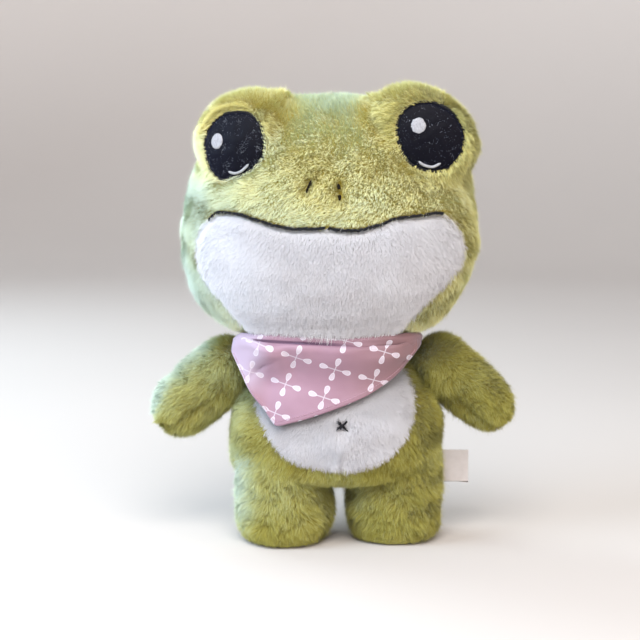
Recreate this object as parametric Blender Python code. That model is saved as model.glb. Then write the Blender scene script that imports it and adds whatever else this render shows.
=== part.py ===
"""Standing plush frog with a neck scarf, about 25 cm tall.

Fur panels, stuffing, embroidered features, scarf and care label are separate
solids.  Solids of fur cloth reach to the tips of the pile.  Front is -Y, +Z is
up, and "left" and "right" are the frog's own: its right side is at -X.
The tables below are in millimetres; meshes are made in metres.
"""
import math

import bmesh
import bpy
import numpy as np
from mathutils import Matrix, Vector

MM = 0.001
GAP = 0.3                 # between two pieces that touch
CLEAR = 0.7               # between two pieces that move past each other
SOCKET_CLEAR = 1.9        # between a round socket and the limb that turns in it

# ---------------------------------------------------------------- dimensions
PILE_CLOTH = 6.0          # backing cloth and pile of a fur panel
HEAD_YAW_DEG = -5.0       # the head sits turned a little to its right
HEAD_SEAM_Y = 6.0         # plane of the seam that runs over the head
TORSO_SEAM_Y = 3.0        # side seams of the torso
TORSO_X = 1.2
NECK = (0.0, 0.0, 109.0)
NECK_BALL_R = 24.0
SECTION_N = 2.3           # roundness of head and torso sections

# z, half width, depth to the front, depth to the back
HEAD = np.array([
    (110.0, 0.0, 0.0, 0.0), (110.8, 30.0, 24.0, 24.0), (113.0, 46.0, 37.0, 36.0),
    (116.0, 54.0, 45.0, 43.0), (119.0, 59.0, 50.0, 47.0), (125.0, 65.5, 55.5, 52.0),
    (131.4, 71.0, 59.5, 56.0), (145.0, 77.8, 64.5, 61.0), (160.6, 81.0, 66.0, 64.0),
    (175.0, 80.6, 64.5, 65.0), (188.0, 78.4, 61.0, 63.0), (204.0, 74.0, 54.5, 58.5),
    (220.0, 63.0, 44.5, 49.0), (232.0, 48.0, 33.5, 37.0), (240.0, 31.0, 21.0, 24.0),
    (244.5, 0.0, 0.0, 0.0)])
HEAD_LEAN = ((110.0, -3.5), (131.0, -3.4), (160.0, -1.9), (190.0, -1.8), (222.0, 0.4),
             (244.5, 0.4))   # z, sideways place of the section's middle
HEAD_RINGS = (111.8, 115.5, 122.5, 133.0, 147.0, 162.0, 177.0, 191.0, 204.0, 216.0,
              227.0, 236.0, 242.2)

TORSO = np.array([
    (28.5, 0.0, 0.0, 0.0), (30.5, 30.0, 23.0, 26.0), (33.5, 46.0, 34.0, 36.0),
    (37.0, 54.0, 40.0, 41.0), (42.0, 57.0, 43.5, 43.5), (50.0, 58.3, 46.0, 44.5),
    (62.0, 58.3, 46.5, 44.0), (75.0, 56.0, 45.5, 42.5), (88.0, 49.5, 42.5, 40.0),
    (98.0, 41.0, 37.5, 36.0), (103.0, 33.0, 32.0, 31.0), (105.5, 26.0, 26.0, 25.0),
    (107.0, 16.0, 16.0, 15.0), (107.5, 0.0, 0.0, 0.0)])
TORSO_RINGS = (30.2, 34.5, 41.5, 51.0, 62.0, 73.0, 84.0, 94.0, 101.5, 106.0)

# eye lobes: centre and half sizes, in the head's own frame
BUMPS = {
    "right": ((-48.5, -20.0, 220.7), (25.0, 24.0, 25.5)),
    "left": ((52.5, -20.0, 223.0), (26.5, 24.5, 26.5))}
BUMP_CLOTH = 5.5
# eyes: centre, outward turn, upward tilt, half width, half height
EYES = {
    "right": ((-48.9, -41.5, 215.8), -17.0, 9.0, 17.6, 18.6),
    "left": ((53.6, -41.5, 220.7), 9.0, 6.0, 18.5, 19.6)}
EYE_BULGE_R = 60.0
EYE_CLOTH = 1.2
GLINTS = {"right": ((-9.4, 2.7), (3.2, 4.0)), "left": ((-6.8, 5.8), (3.8, 4.0))}
ARCS = {
    "right": ((-2.9, -13.2), (-0.2, -14.3), (3.4, -13.5), (8.6, -9.6)),
    "left": ((-6.7, -12.4), (-3.8, -14.4), (-0.4, -15.2), (4.9, -13.6))}

MOUTH = ((-61.4, 178.9), (-58.6, 181.2), (-55.5, 181.9), (-49.0, 181.8), (-42.0, 180.6),
         (-33.3, 178.1), (-22.7, 175.4), (-14.9, 174.5), (-7.1, 174.6), (1.1, 175.0),
         (5.7, 174.5), (12.8, 173.7), (20.9, 174.7), (28.5, 176.8), (34.0, 179.0),
         (39.5, 180.4), (48.1, 180.9), (56.1, 182.0), (61.0, 181.6))
MUZZLE = ((-61.4, 178.4), (-58.6, 180.7), (-55.5, 181.4), (-49.0, 181.3), (-42.0, 180.1),
          (-33.3, 177.6), (-22.7, 174.9), (-14.9, 174.0), (-7.1, 174.1), (1.1, 174.5),
          (5.7, 174.0), (12.8, 173.2), (20.9, 174.2), (28.5, 176.3), (34.0, 178.5),
          (39.5, 179.9), (48.1, 180.4), (56.1, 181.5), (61.7, 180.9), (67.5, 175.5),
          (71.2, 167.7), (72.4, 160.5), (70.6, 152.5), (66.1, 146.0), (60.5, 140.5),
          (54.4, 135.0), (48.5, 129.0), (42.6, 121.5), (34.5, 115.2), (22.2, 112.9),
          (0.9, 112.4), (-26.3, 112.9), (-41.5, 115.6), (-50.1, 124.0), (-57.6, 134.5),
          (-65.1, 142.3), (-69.8, 150.1), (-71.4, 159.0), (-70.5, 167.5), (-67.0, 174.0))
NOSTRILS = {"right": ((-11.4, 197.6), (-8.7, 196.2), (-6.1, 194.1)),
            "left": ((7.2, 197.4), (7.4, 194.0), (7.3, 190.4))}

BELLY = ((-43.6, 84.0), (-43.3, 77.3), (-40.5, 69.0), (-35.7, 60.5), (-31.0, 53.8),
         (-25.1, 48.9), (-18.0, 45.8), (-10.8, 44.2), (-2.0, 42.8), (5.2, 42.3),
         (13.5, 43.2), (21.1, 45.5), (28.2, 49.3), (34.3, 54.3), (39.2, 60.5),
         (42.6, 68.0), (44.0, 76.5), (43.4, 85.5), (40.6, 93.5), (35.5, 99.5),
         (26.0, 102.5), (12.0, 103.6), (-4.0, 103.6), (-20.0, 102.5), (-31.0, 99.0),
         (-38.6, 93.0))
NAVEL = (4.0, 68.9)

ARMS = {   # shoulder centre, droop below level in degrees, (distance, radius) table
    "right": ((-58.5, -2.0, 92.0), 38.0,
              ((0.0, 19.4), (17.0, 19.3), (30.0, 18.3), (40.0, 15.2), (46.5, 10.0), (49.8, 0.0))),
    "left": ((58.5, -2.0, 95.0), 39.5,
             ((0.0, 18.0), (16.0, 17.4), (30.0, 16.8), (41.0, 13.6), (48.0, 8.6), (51.2, 0.0)))}
ARM_FLAT = 0.9            # thickness over breadth
ARM_CLOTH = 5.0
ARM_DOWN_DEG = -5.0

LEGS = {"right": (-27.0, -12.5), "left": (33.0, -6.5)}
HIP_Z = 40.0
LEG_R = 26.2
LEG_RINGS = ((34.0, 26.4, 26.8), (26.0, 26.7, 28.4), (17.0, 26.8, 29.6), (9.0, 26.0, 29.0),
             (4.0, 24.0, 27.0), (1.4, 21.8, 24.8))
LEG_CLOTH = 5.5
SOLE = (19.4, 22.4, 4.0)  # half width, half length, thickness
LEG_BACK_DEG = -12.0
LEG_FORWARD_DEG = 20.0

BAND = (41.0, 46.7, 44.0, 2.6, 103.6, 108.2)   # rx, front, back, thickness, z, z
BIB_TOP_Z = 112.4
BIB_THICK = 1.8
BIB_EDGE = ((-53.6, 106.0), (-49.5, 95.5), (-44.4, 85.5), (-37.5, 77.0), (-30.3, 68.4),
            (-23.5, 70.2), (-16.6, 72.2), (-6.0, 75.9), (4.5, 79.7), (11.5, 82.5),
            (18.2, 85.5), (25.0, 89.4), (31.3, 93.7), (38.6, 100.6), (43.8, 107.2))

LABEL = (60.1, 75.6, 28.2, 46.2, 0.5)          # x, x, z, z, thickness of each leaf
LABEL_Y = 3.0

# sRGB colour and roughness of each material
LOOKS = {
    "green_plush": ((0.63, 0.61, 0.35), 0.95), "white_plush": ((0.85, 0.82, 0.82), 0.95),
    "stuffing": ((0.90, 0.90, 0.88), 0.95), "eye_cloth": ((0.07, 0.07, 0.09), 0.45),
    "white_thread": ((0.90, 0.91, 0.92), 0.6), "black_thread": ((0.05, 0.05, 0.06), 0.7),
    "pink_cotton": ((0.76, 0.62, 0.70), 0.9), "white_satin": ((0.86, 0.84, 0.84), 0.6)}


# ------------------------------------------------------------------- helpers
def pchip(xs, ys, q):
    """Monotone cubic through a table."""
    xs, ys = np.asarray(xs, float), np.asarray(ys, float)
    h = np.diff(xs)
    d = np.diff(ys) / h
    m = np.zeros_like(ys)
    for i in range(1, len(xs) - 1):
        if d[i - 1] * d[i] > 0:
            a, b = 2 * h[i] + h[i - 1], h[i] + 2 * h[i - 1]
            m[i] = (a + b) / (a / d[i - 1] + b / d[i])
    m[0], m[-1] = d[0], d[-1]
    q = np.clip(np.asarray(q, float), xs[0], xs[-1])
    i = np.clip(np.searchsorted(xs, q) - 1, 0, len(h) - 1)
    t = (q - xs[i]) / h[i]
    return ((2 * t**3 - 3 * t**2 + 1) * ys[i] + (t**3 - 2 * t**2 + t) * h[i] * m[i]
            + (-2 * t**3 + 3 * t**2) * ys[i + 1] + (t**3 - t**2) * h[i] * m[i + 1])


def clear_scene():
    for ob in list(bpy.data.objects):
        bpy.data.objects.remove(ob, do_unlink=True)


def linear(c):
    return c / 12.92 if c <= 0.04045 else ((c + 0.055) / 1.055) ** 2.4


def material(name, look):
    rgb, rough = LOOKS[look]
    mat = bpy.data.materials.new(name)
    mat.use_nodes = True
    bsdf = mat.node_tree.nodes["Principled BSDF"]
    col = tuple(linear(c) for c in rgb) + (1.0,)
    bsdf.inputs["Base Color"].default_value = col
    bsdf.inputs["Roughness"].default_value = rough
    bsdf.inputs["Metallic"].default_value = 0.0
    mat.diffuse_color = col
    return mat


def make(name, verts, faces, look=None, parent=None, origin=(0.0, 0.0, 0.0)):
    """An object from vertices in millimetres, with its origin at a point."""
    o = Vector(origin)
    me = bpy.data.meshes.new(name)
    me.from_pydata([((Vector(v) - o) * MM)[:] for v in verts], [], faces)
    bm = bmesh.new()
    bm.from_mesh(me)
    bmesh.ops.remove_doubles(bm, verts=bm.verts, dist=1e-6)
    bmesh.ops.recalc_face_normals(bm, faces=bm.faces)
    if bm.calc_volume(signed=True) < 0:
        bmesh.ops.reverse_faces(bm, faces=bm.faces)
    bm.to_mesh(me)
    bm.free()
    ob = bpy.data.objects.new(name, me)
    bpy.context.scene.collection.objects.link(ob)
    ob.location = o * MM
    if parent is not None:
        ob.parent = parent
        ob.location = (o * MM) - Vector(parent["anchor"])
    if look:
        me.materials.append(material(name, look))
    else:
        ob.hide_render = True
        ob.display_type = "WIRE"
    return ob


def pivot(name, at, parent=None, yaw=0.0):
    em = bpy.data.objects.new(name, None)
    bpy.context.scene.collection.objects.link(em)
    em["anchor"] = [c * MM for c in at]
    em.location = Vector(at) * MM
    if parent is not None:
        em.parent = parent
        em.location = Vector(at) * MM - Vector(parent["anchor"])
    em.rotation_euler = (0.0, 0.0, math.radians(yaw))
    return em


def cut(ob, *cutters, keep=False):
    for c in cutters:
        m = ob.modifiers.new(c.name, "BOOLEAN")
        m.operation = "INTERSECT" if keep else "DIFFERENCE"
        m.solver = "EXACT"
        m.object = c


def section(n_pts, rx, rf, rb, n):
    """Closed superellipse, rf towards -Y and rb towards +Y."""
    pts = []
    for k in range(n_pts):
        a = 2 * math.pi * (k + 0.5) / n_pts
        c, s = math.cos(a), math.sin(a)
        r = (abs(c) ** n + abs(s) ** n) ** (-1.0 / n)
        pts.append((rx * r * c, (rf if s < 0 else rb) * r * s))
    return pts


def loft(rings, seg, bottom, top, n):
    """Rings (z, cx, cy, rx, rf, rb) closed by a point at each end."""
    verts, faces = [bottom], []
    for z, cx, cy, rx, rf, rb in rings:
        verts += [(cx + x, cy + y, z) for x, y in section(seg, rx, rf, rb, n)]
    verts.append(top)
    last = len(verts) - 1
    for k in range(seg):
        j = (k + 1) % seg
        faces.append((0, 1 + j, 1 + k))
        for i in range(len(rings) - 1):
            a, b = 1 + i * seg, 1 + (i + 1) * seg
            faces.append((a + k, a + j, b + j, b + k))
        a = 1 + (len(rings) - 1) * seg
        faces.append((a + k, a + j, last))
    return verts, faces


def body_shape(table, levels, seg, middle):
    """Closed surface through a table of sections at the given levels."""
    rings = []
    for z in levels:
        w, f, b = (float(pchip(table[:, 0], table[:, k], z)) for k in (1, 2, 3))
        rings.append((z, middle(z), 0.0, w, f, b))
    low, high = table[0, 0], table[-1, 0]
    return loft(rings, seg, (middle(low), 0.0, low), (middle(high), 0.0, high), SECTION_N)


def offset(shape, d):
    """The same faces moved along the vertex normals, outward for d > 0."""
    verts, faces = shape
    bm = bmesh.new()
    vs = [bm.verts.new(v) for v in verts]
    for f in faces:
        bm.faces.new([vs[i] for i in f])
    bmesh.ops.recalc_face_normals(bm, faces=bm.faces)
    if bm.calc_volume(signed=True) < 0:
        bmesh.ops.reverse_faces(bm, faces=bm.faces)
    bm.normal_update()
    out = [(v.co + v.normal * d)[:] for v in vs]
    bm.free()
    return out, faces


def moved(shape, matrix):
    return [(matrix @ Vector(v))[:] for v in shape[0]], shape[1]


def ellipsoid(centre, radii, seg, rings):
    verts, faces = [(centre[0], centre[1], centre[2] - radii[2])], []
    for i in range(1, rings):
        a = math.pi * i / rings
        for k in range(seg):
            b = 2 * math.pi * (k + 0.5) / seg
            verts.append((centre[0] + radii[0] * math.sin(a) * math.cos(b),
                          centre[1] + radii[1] * math.sin(a) * math.sin(b),
                          centre[2] - radii[2] * math.cos(a)))
    verts.append((centre[0], centre[1], centre[2] + radii[2]))
    last = len(verts) - 1
    for k in range(seg):
        j = (k + 1) % seg
        faces.append((0, 1 + j, 1 + k))
        for i in range(rings - 2):
            a, b = 1 + i * seg, 1 + (i + 1) * seg
            faces.append((a + k, a + j, b + j, b + k))
        a = 1 + (rings - 2) * seg
        faces.append((a + k, a + j, last))
    return verts, faces


def block(x0, x1, y0, y1, z0, z1):
    v = [(x, y, z) for z in (z0, z1) for y in (y0, y1) for x in (x0, x1)]
    f = [(0, 2, 3, 1), (4, 5, 7, 6), (0, 1, 5, 4), (1, 3, 7, 5), (3, 2, 6, 7), (2, 0, 4, 6)]
    return v, f


def prism(outline, y0, y1, grow=0.0):
    """Outline in X and Z, extruded along Y; grow moves its edge outward."""
    n = len(outline)
    pts = [Vector(p) for p in outline]
    area = sum(pts[i - 1].cross(pts[i]) for i in range(n))
    out = []
    for i in range(n):
        e0, e1 = pts[i] - pts[i - 1], pts[(i + 1) % n] - pts[i]
        t = (e0.normalized() + e1.normalized()).normalized()
        nrm = Vector((t.y, -t.x)) * (1.0 if area > 0 else -1.0)
        out.append(pts[i] + nrm * grow)
    verts = [(p.x, y0, p.y) for p in out] + [(p.x, y1, p.y) for p in out]
    faces = [tuple(range(n)), tuple(range(2 * n - 1, n - 1, -1))]
    faces += [(i, (i + 1) % n, n + (i + 1) % n, n + i) for i in range(n)]
    return verts, faces


def head_x(z):
    return float(pchip([p[0] for p in HEAD_LEAN], [p[1] for p in HEAD_LEAN], z))


def table_front(table, x, z, cx=0.0):
    w = float(pchip(table[:, 0], table[:, 1], z))
    d = float(pchip(table[:, 0], table[:, 2], z))
    q = max(0.0, 1.0 - (abs(x - cx) / max(w, 1e-6)) ** SECTION_N)
    return -d * q ** (1.0 / SECTION_N)


def front_point(table, x, z, h, cx=0.0):
    """Point h outside the front of a body, along its normal there."""
    e = 0.4
    y = table_front(table, x, z, cx)
    dx = (table_front(table, x + e, z, cx) - table_front(table, x - e, z, cx)) / (2 * e)
    dz = (table_front(table, x, z + e, cx) - table_front(table, x, z - e, cx)) / (2 * e)
    n = Vector((dx, -1.0, dz)).normalized()
    return Vector((x, y, z)) + n * h, n


def strip(points, normals, width, h0, h1):
    """A flat thread of stitches along points, raised from h0 to h1."""
    verts, n = [], len(points)
    for i, (p, nr) in enumerate(zip(points, normals)):
        t = (points[min(i + 1, n - 1)] - points[max(i - 1, 0)]).normalized()
        side = t.cross(nr).normalized() * (width / 2)
        verts += [(p + side + nr * h0)[:], (p - side + nr * h0)[:],
                  (p - side + nr * h1)[:], (p + side + nr * h1)[:]]
    faces = [(0, 1, 2, 3), tuple(4 * (n - 1) + k for k in (3, 2, 1, 0))]
    for i in range(n - 1):
        a, b = 4 * i, 4 * (i + 1)
        faces += [(a + k, a + (k + 1) % 4, b + (k + 1) % 4, b + k) for k in range(4)]
    return verts, faces


def eye_frame(side):
    c, turn, tilt, a, b = EYES[side]
    m = Matrix.Rotation(math.radians(turn), 3, "Z") @ Matrix.Rotation(math.radians(-tilt), 3, "X")
    return Vector(c), m @ Vector((1, 0, 0)), m @ Vector((0, 0, 1)), m @ Vector((0, -1, 0))


def eye_point(side, s, t, h):
    c, u, v, n = eye_frame(side)
    return c + u * s + v * t + n * (h - (s * s + t * t) / (2 * EYE_BULGE_R))


def eye_disc(side, centre, radii, h0, h1, seg, flat_top=None):
    """Domed oval on the eye from height h0 to h1 above its face."""
    rows = (0.0, 0.5, 1.0)
    verts, faces = [], []
    for h, top in ((h0, False), (h1, True)):
        base = len(verts)
        for r in rows[1:]:
            for k in range(seg):
                a = 2 * math.pi * k / seg
                s, t = centre[0] + radii[0] * r * math.cos(a), centre[1] + radii[1] * r * math.sin(a)
                p = eye_point(side, s, t, h)
                if top and flat_top is not None:
                    c, u, v, n = eye_frame(side)
                    p = c + u * s + v * t + n * flat_top
                verts.append(p[:])
        p = eye_point(side, centre[0], centre[1], h)
        if top and flat_top is not None:
            c, u, v, n = eye_frame(side)
            p = c + u * centre[0] + v * centre[1] + n * flat_top
        verts.append(p[:])
        tip = len(verts) - 1
        for k in range(seg):
            j = (k + 1) % seg
            f = [(base + k, base + j, tip), (base + seg + k, base + seg + j, base + j, base + k)]
            faces += f if top else [tuple(reversed(q)) for q in f]
    half = 2 * seg + 1
    for k in range(seg):
        j = (k + 1) % seg
        faces.append((seg + k, seg + j, half + seg + j, half + seg + k))
    return verts, faces


# ---------------------------------------------------------------------- head
def build_head(parent):
    outer = body_shape(HEAD, HEAD_RINGS, 28, head_x)
    inner = offset(outer, -PILE_CLOTH)
    core = offset(body_shape(HEAD, HEAD_RINGS[::2], 18, head_x), -PILE_CLOTH - 3 * GAP)
    c_inner = make("cut_head_inside", *inner, parent=parent)
    c_over = make("cut_head_outside", *offset(outer, GAP), parent=parent)
    c_neck = make("cut_head_neck", *ellipsoid(NECK, (NECK_BALL_R + CLEAR,) * 3, 20, 12), parent=parent)
    c_back = make("cut_head_back_half", *block(-120, 120, HEAD_SEAM_Y - GAP / 2, 120, 60, 300), parent=parent)
    c_front = make("cut_head_front_half", *block(-120, 120, -120, HEAD_SEAM_Y + GAP / 2, 60, 300), parent=parent)
    c_lside = make("cut_head_left_half", *block(-GAP / 2, 120, -120, 120, 60, 300), parent=parent)
    c_rside = make("cut_head_right_half", *block(-120, GAP / 2, -120, 120, 60, 300), parent=parent)
    c_muz = make("cut_muzzle_hole", *prism(MUZZLE, -110, -15, GAP / 2), parent=parent)
    c_muz_in = make("cut_muzzle_shape", *prism(MUZZLE, -110, -15, -GAP / 2), parent=parent)
    pockets = {s: make("cut_eye_pocket_" + s, *eye_disc(s, (0, 0), (EYES[s][3] + 0.4, EYES[s][4] + 0.4),
                                                       -EYE_CLOTH - GAP, 0.0, 20, flat_top=16.0),
                       parent=parent) for s in EYES}

    front = make("head_front_panel", *outer, look="green_plush", parent=parent)
    cut(front, c_inner, c_back, c_muz, c_neck, pockets["right"], pockets["left"])
    muz = make("muzzle_panel", *outer, look="white_plush", parent=parent)
    cut(muz, c_inner)
    cut(muz, c_muz_in, keep=True)
    cut(muz, c_neck)
    for side, half in (("left", c_rside), ("right", c_lside)):
        back = make("head_back_panel_" + side, *outer, look="green_plush", parent=parent)
        cut(back, c_inner, c_front, half, c_neck)
    fill = make("head_stuffing", *core, look="stuffing", parent=parent)
    cut(fill, c_neck, pockets["right"], pockets["left"])

    for side, (c, r) in BUMPS.items():
        lobe = ellipsoid(c, r, 18, 10)
        c_lobe = make("cut_lobe_inside_" + side, *offset(lobe, -BUMP_CLOTH), parent=parent)
        cover = make("eye_lobe_cover_" + side, *lobe, look="green_plush", parent=parent)
        cut(cover, c_lobe, c_over, pockets[side])
        pad = make("eye_lobe_stuffing_" + side, *offset(lobe, -BUMP_CLOTH - GAP), look="stuffing", parent=parent)
        cut(pad, c_over, pockets[side])
        make("eye_patch_" + side, *eye_disc(side, (0, 0), EYES[side][3:5], -EYE_CLOTH, 0.0, 22),
             look="eye_cloth", parent=parent)
        gc, gr = GLINTS[side]
        make("eye_glint_" + side, *eye_disc(side, gc, gr, GAP, GAP + 0.6, 14),
             look="white_thread", parent=parent)
        pts = [eye_point(side, s, t, 0.0) for s, t in ARCS[side]]
        nrm = [eye_frame(side)[3]] * len(pts)
        make("eye_arc_" + side, *strip(pts, nrm, 1.4, GAP, GAP + 0.6), look="white_thread", parent=parent)

    for name, line, wide in (("mouth_line", MOUTH, 1.6), ("nostril_right", NOSTRILS["right"], 1.9),
                             ("nostril_left", NOSTRILS["left"], 1.9)):
        pn = [front_point(HEAD, x, z, 0.0, head_x(z)) for x, z in line]
        make(name, *strip([p for p, _ in pn], [n for _, n in pn], wide, GAP + 0.1, GAP + 1.0),
             look="black_thread", parent=parent)


# ---------------------------------------------------------------------- arms
def arm_shape(side, grow=0.0, turn=0.0):
    """Arm as rings along its length, rounded at the shoulder about Y."""
    c, droop, table = ARMS[side]
    sgn = -1.0 if side == "right" else 1.0
    a = math.radians(droop - turn)
    d = Vector((sgn * math.cos(a), 0.0, -math.sin(a)))
    up = Vector((sgn * math.sin(a), 0.0, math.cos(a)))
    s_tab, r_tab = [p[0] for p in table], [p[1] for p in table]
    r0, end = r_tab[0], s_tab[-1]
    stations = [(-r0 * math.cos(t), r0 * math.sin(t)) for t in (0.5, 1.05)]
    for f in (0.0, 0.24, 0.46, 0.64, 0.78, 0.89, 0.96):
        s = f * end
        r = float(pchip(s_tab, r_tab, s))
        if s > 0.75 * end:
            r = max(r, 0.4)
        stations.append((s, r))
    seg = 14
    verts, faces = [(Vector(c) - d * (r0 + grow))[:]], []
    for s, r in stations:
        for k in range(seg):
            b = 2 * math.pi * (k + 0.5) / seg
            rr = r + grow * (1.0 if s > 0 else r / r0)
            ss = s + (grow * s / r0 if s < 0 else 0.0)
            verts.append((Vector(c) + d * ss + up * (rr * math.cos(b))
                          + Vector((0, 1, 0)) * (rr * ARM_FLAT * math.sin(b)))[:])
    verts.append((Vector(c) + d * (end + grow))[:])
    last = len(verts) - 1
    for k in range(seg):
        j = (k + 1) % seg
        faces.append((0, 1 + j, 1 + k))
        for i in range(len(stations) - 1):
            p, q = 1 + i * seg, 1 + (i + 1) * seg
            faces.append((p + k, p + j, q + j, q + k))
        p = 1 + (len(stations) - 1) * seg
        faces.append((p + k, p + j, last))
    return verts, faces


def build_arm(side, parent):
    c, droop, _ = ARMS[side]
    sgn = -1.0 if side == "right" else 1.0
    outer = arm_shape(side)
    inside = make("cut_arm_inside_" + side, *offset(outer, -ARM_CLOTH), parent=parent, origin=c)
    # the open end of the sleeve, where it is sewn to the torso
    a = math.radians(droop)
    m = Matrix.Translation(Vector(c)) @ Matrix.Rotation(sgn * a, 4, "Y")
    mouth = moved(block(-30.0 if sgn > 0 else 8.0, -8.0 if sgn > 0 else 30.0, -8.5, 8.5, -8.5, 8.5), m)
    c_mouth = make("cut_arm_mouth_" + side, *mouth, parent=parent, origin=c)
    cover = make("arm_cover_" + side, *outer, look="green_plush", parent=parent, origin=c)
    cut(cover, inside, c_mouth)
    make("arm_stuffing_" + side, *offset(outer, -ARM_CLOTH - GAP), look="stuffing", parent=parent, origin=c)


# ---------------------------------------------------------------------- legs
def leg_shape(side, grow=0.0, turn=0.0, flat=True, dome=0.0):
    """Stump with a round top about the hip and an oval foot."""
    cx, cy = LEGS[side]
    hip = Vector((cx, cy, HIP_Z))
    seg = 18
    rd = LEG_R + grow + dome
    rows = [(HIP_Z + rd * math.cos(t), rd * math.sin(t), rd * math.sin(t))
            for t in (1.5708, 1.18, 0.8, 0.4)][::-1]
    rows += [(z, rx + grow, ry + grow) for z, rx, ry in LEG_RINGS]
    foot = 0.8 if flat else -grow - 6.0
    rows.append((foot, 20.0 + grow, 23.0 + grow))
    verts = [(cx, cy, HIP_Z + rd)]
    for z, rx, ry in rows:
        verts += [(cx + x, cy + y, z) for x, y in section(seg, rx, ry, ry, 2.0)]
    faces = []
    for k in range(seg):
        j = (k + 1) % seg
        faces.append((0, 1 + k, 1 + j))
        for i in range(len(rows) - 1):
            p, q = 1 + i * seg, 1 + (i + 1) * seg
            faces.append((p + k, q + k, q + j, p + j))
    faces.append(tuple(1 + (len(rows) - 1) * seg + k for k in range(seg)))
    if turn:
        m = (Matrix.Translation(hip) @ Matrix.Rotation(math.radians(-turn), 4, "X")
             @ Matrix.Translation(-hip))
        verts = [(m @ Vector(v))[:] for v in verts]
    return verts, faces


def build_leg(side, parent):
    cx, cy = LEGS[side]
    hip = (cx, cy, HIP_Z)
    outer = leg_shape(side)
    core = offset(outer, -LEG_CLOTH)
    inside = make("cut_leg_inside_" + side, *core, parent=parent, origin=hip)
    hole = [(SOLE[0] + GAP) / 1.0, (SOLE[1] + GAP) / 1.0]
    pts = section(24, hole[0], hole[1], hole[1], 2.0)
    v = [(cx + x, cy + y, z) for z in (-3.0, 7.5) for x, y in pts]
    n = len(pts)
    f = [tuple(range(n))[::-1], tuple(range(n, 2 * n))]
    f += [(i, (i + 1) % n, n + (i + 1) % n, n + i) for i in range(n)]
    c_hole = make("cut_leg_sole_hole_" + side, v, f, parent=parent, origin=hip)
    cover = make("leg_cover_" + side, *outer, look="green_plush", parent=parent, origin=hip)
    cut(cover, inside, c_hole)
    # stuffing stops above the sole
    fill = make("leg_stuffing_" + side, *offset(outer, -LEG_CLOTH - GAP), look="stuffing",
                parent=parent, origin=hip)
    # flat sole with a rounded rim
    rows = ((0.0, SOLE[0] - 1.2, SOLE[1] - 1.2), (0.9, SOLE[0] - 0.2, SOLE[1] - 0.2),
            (SOLE[2], SOLE[0], SOLE[1]))
    verts, faces = [], []
    for z, rx, ry in rows:
        verts += [(cx + x, cy + y, z) for x, y in section(24, rx, ry, ry, 2.0)]
    faces.append(tuple(range(24))[::-1])
    for i in range(2):
        faces += [(24 * i + k, 24 * i + (k + 1) % 24, 24 * (i + 1) + (k + 1) % 24, 24 * (i + 1) + k)
                  for k in range(24)]
    faces.append(tuple(range(48, 72)))
    make("sole_" + side, verts, faces, look="green_plush", parent=parent, origin=hip)
    return fill


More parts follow.
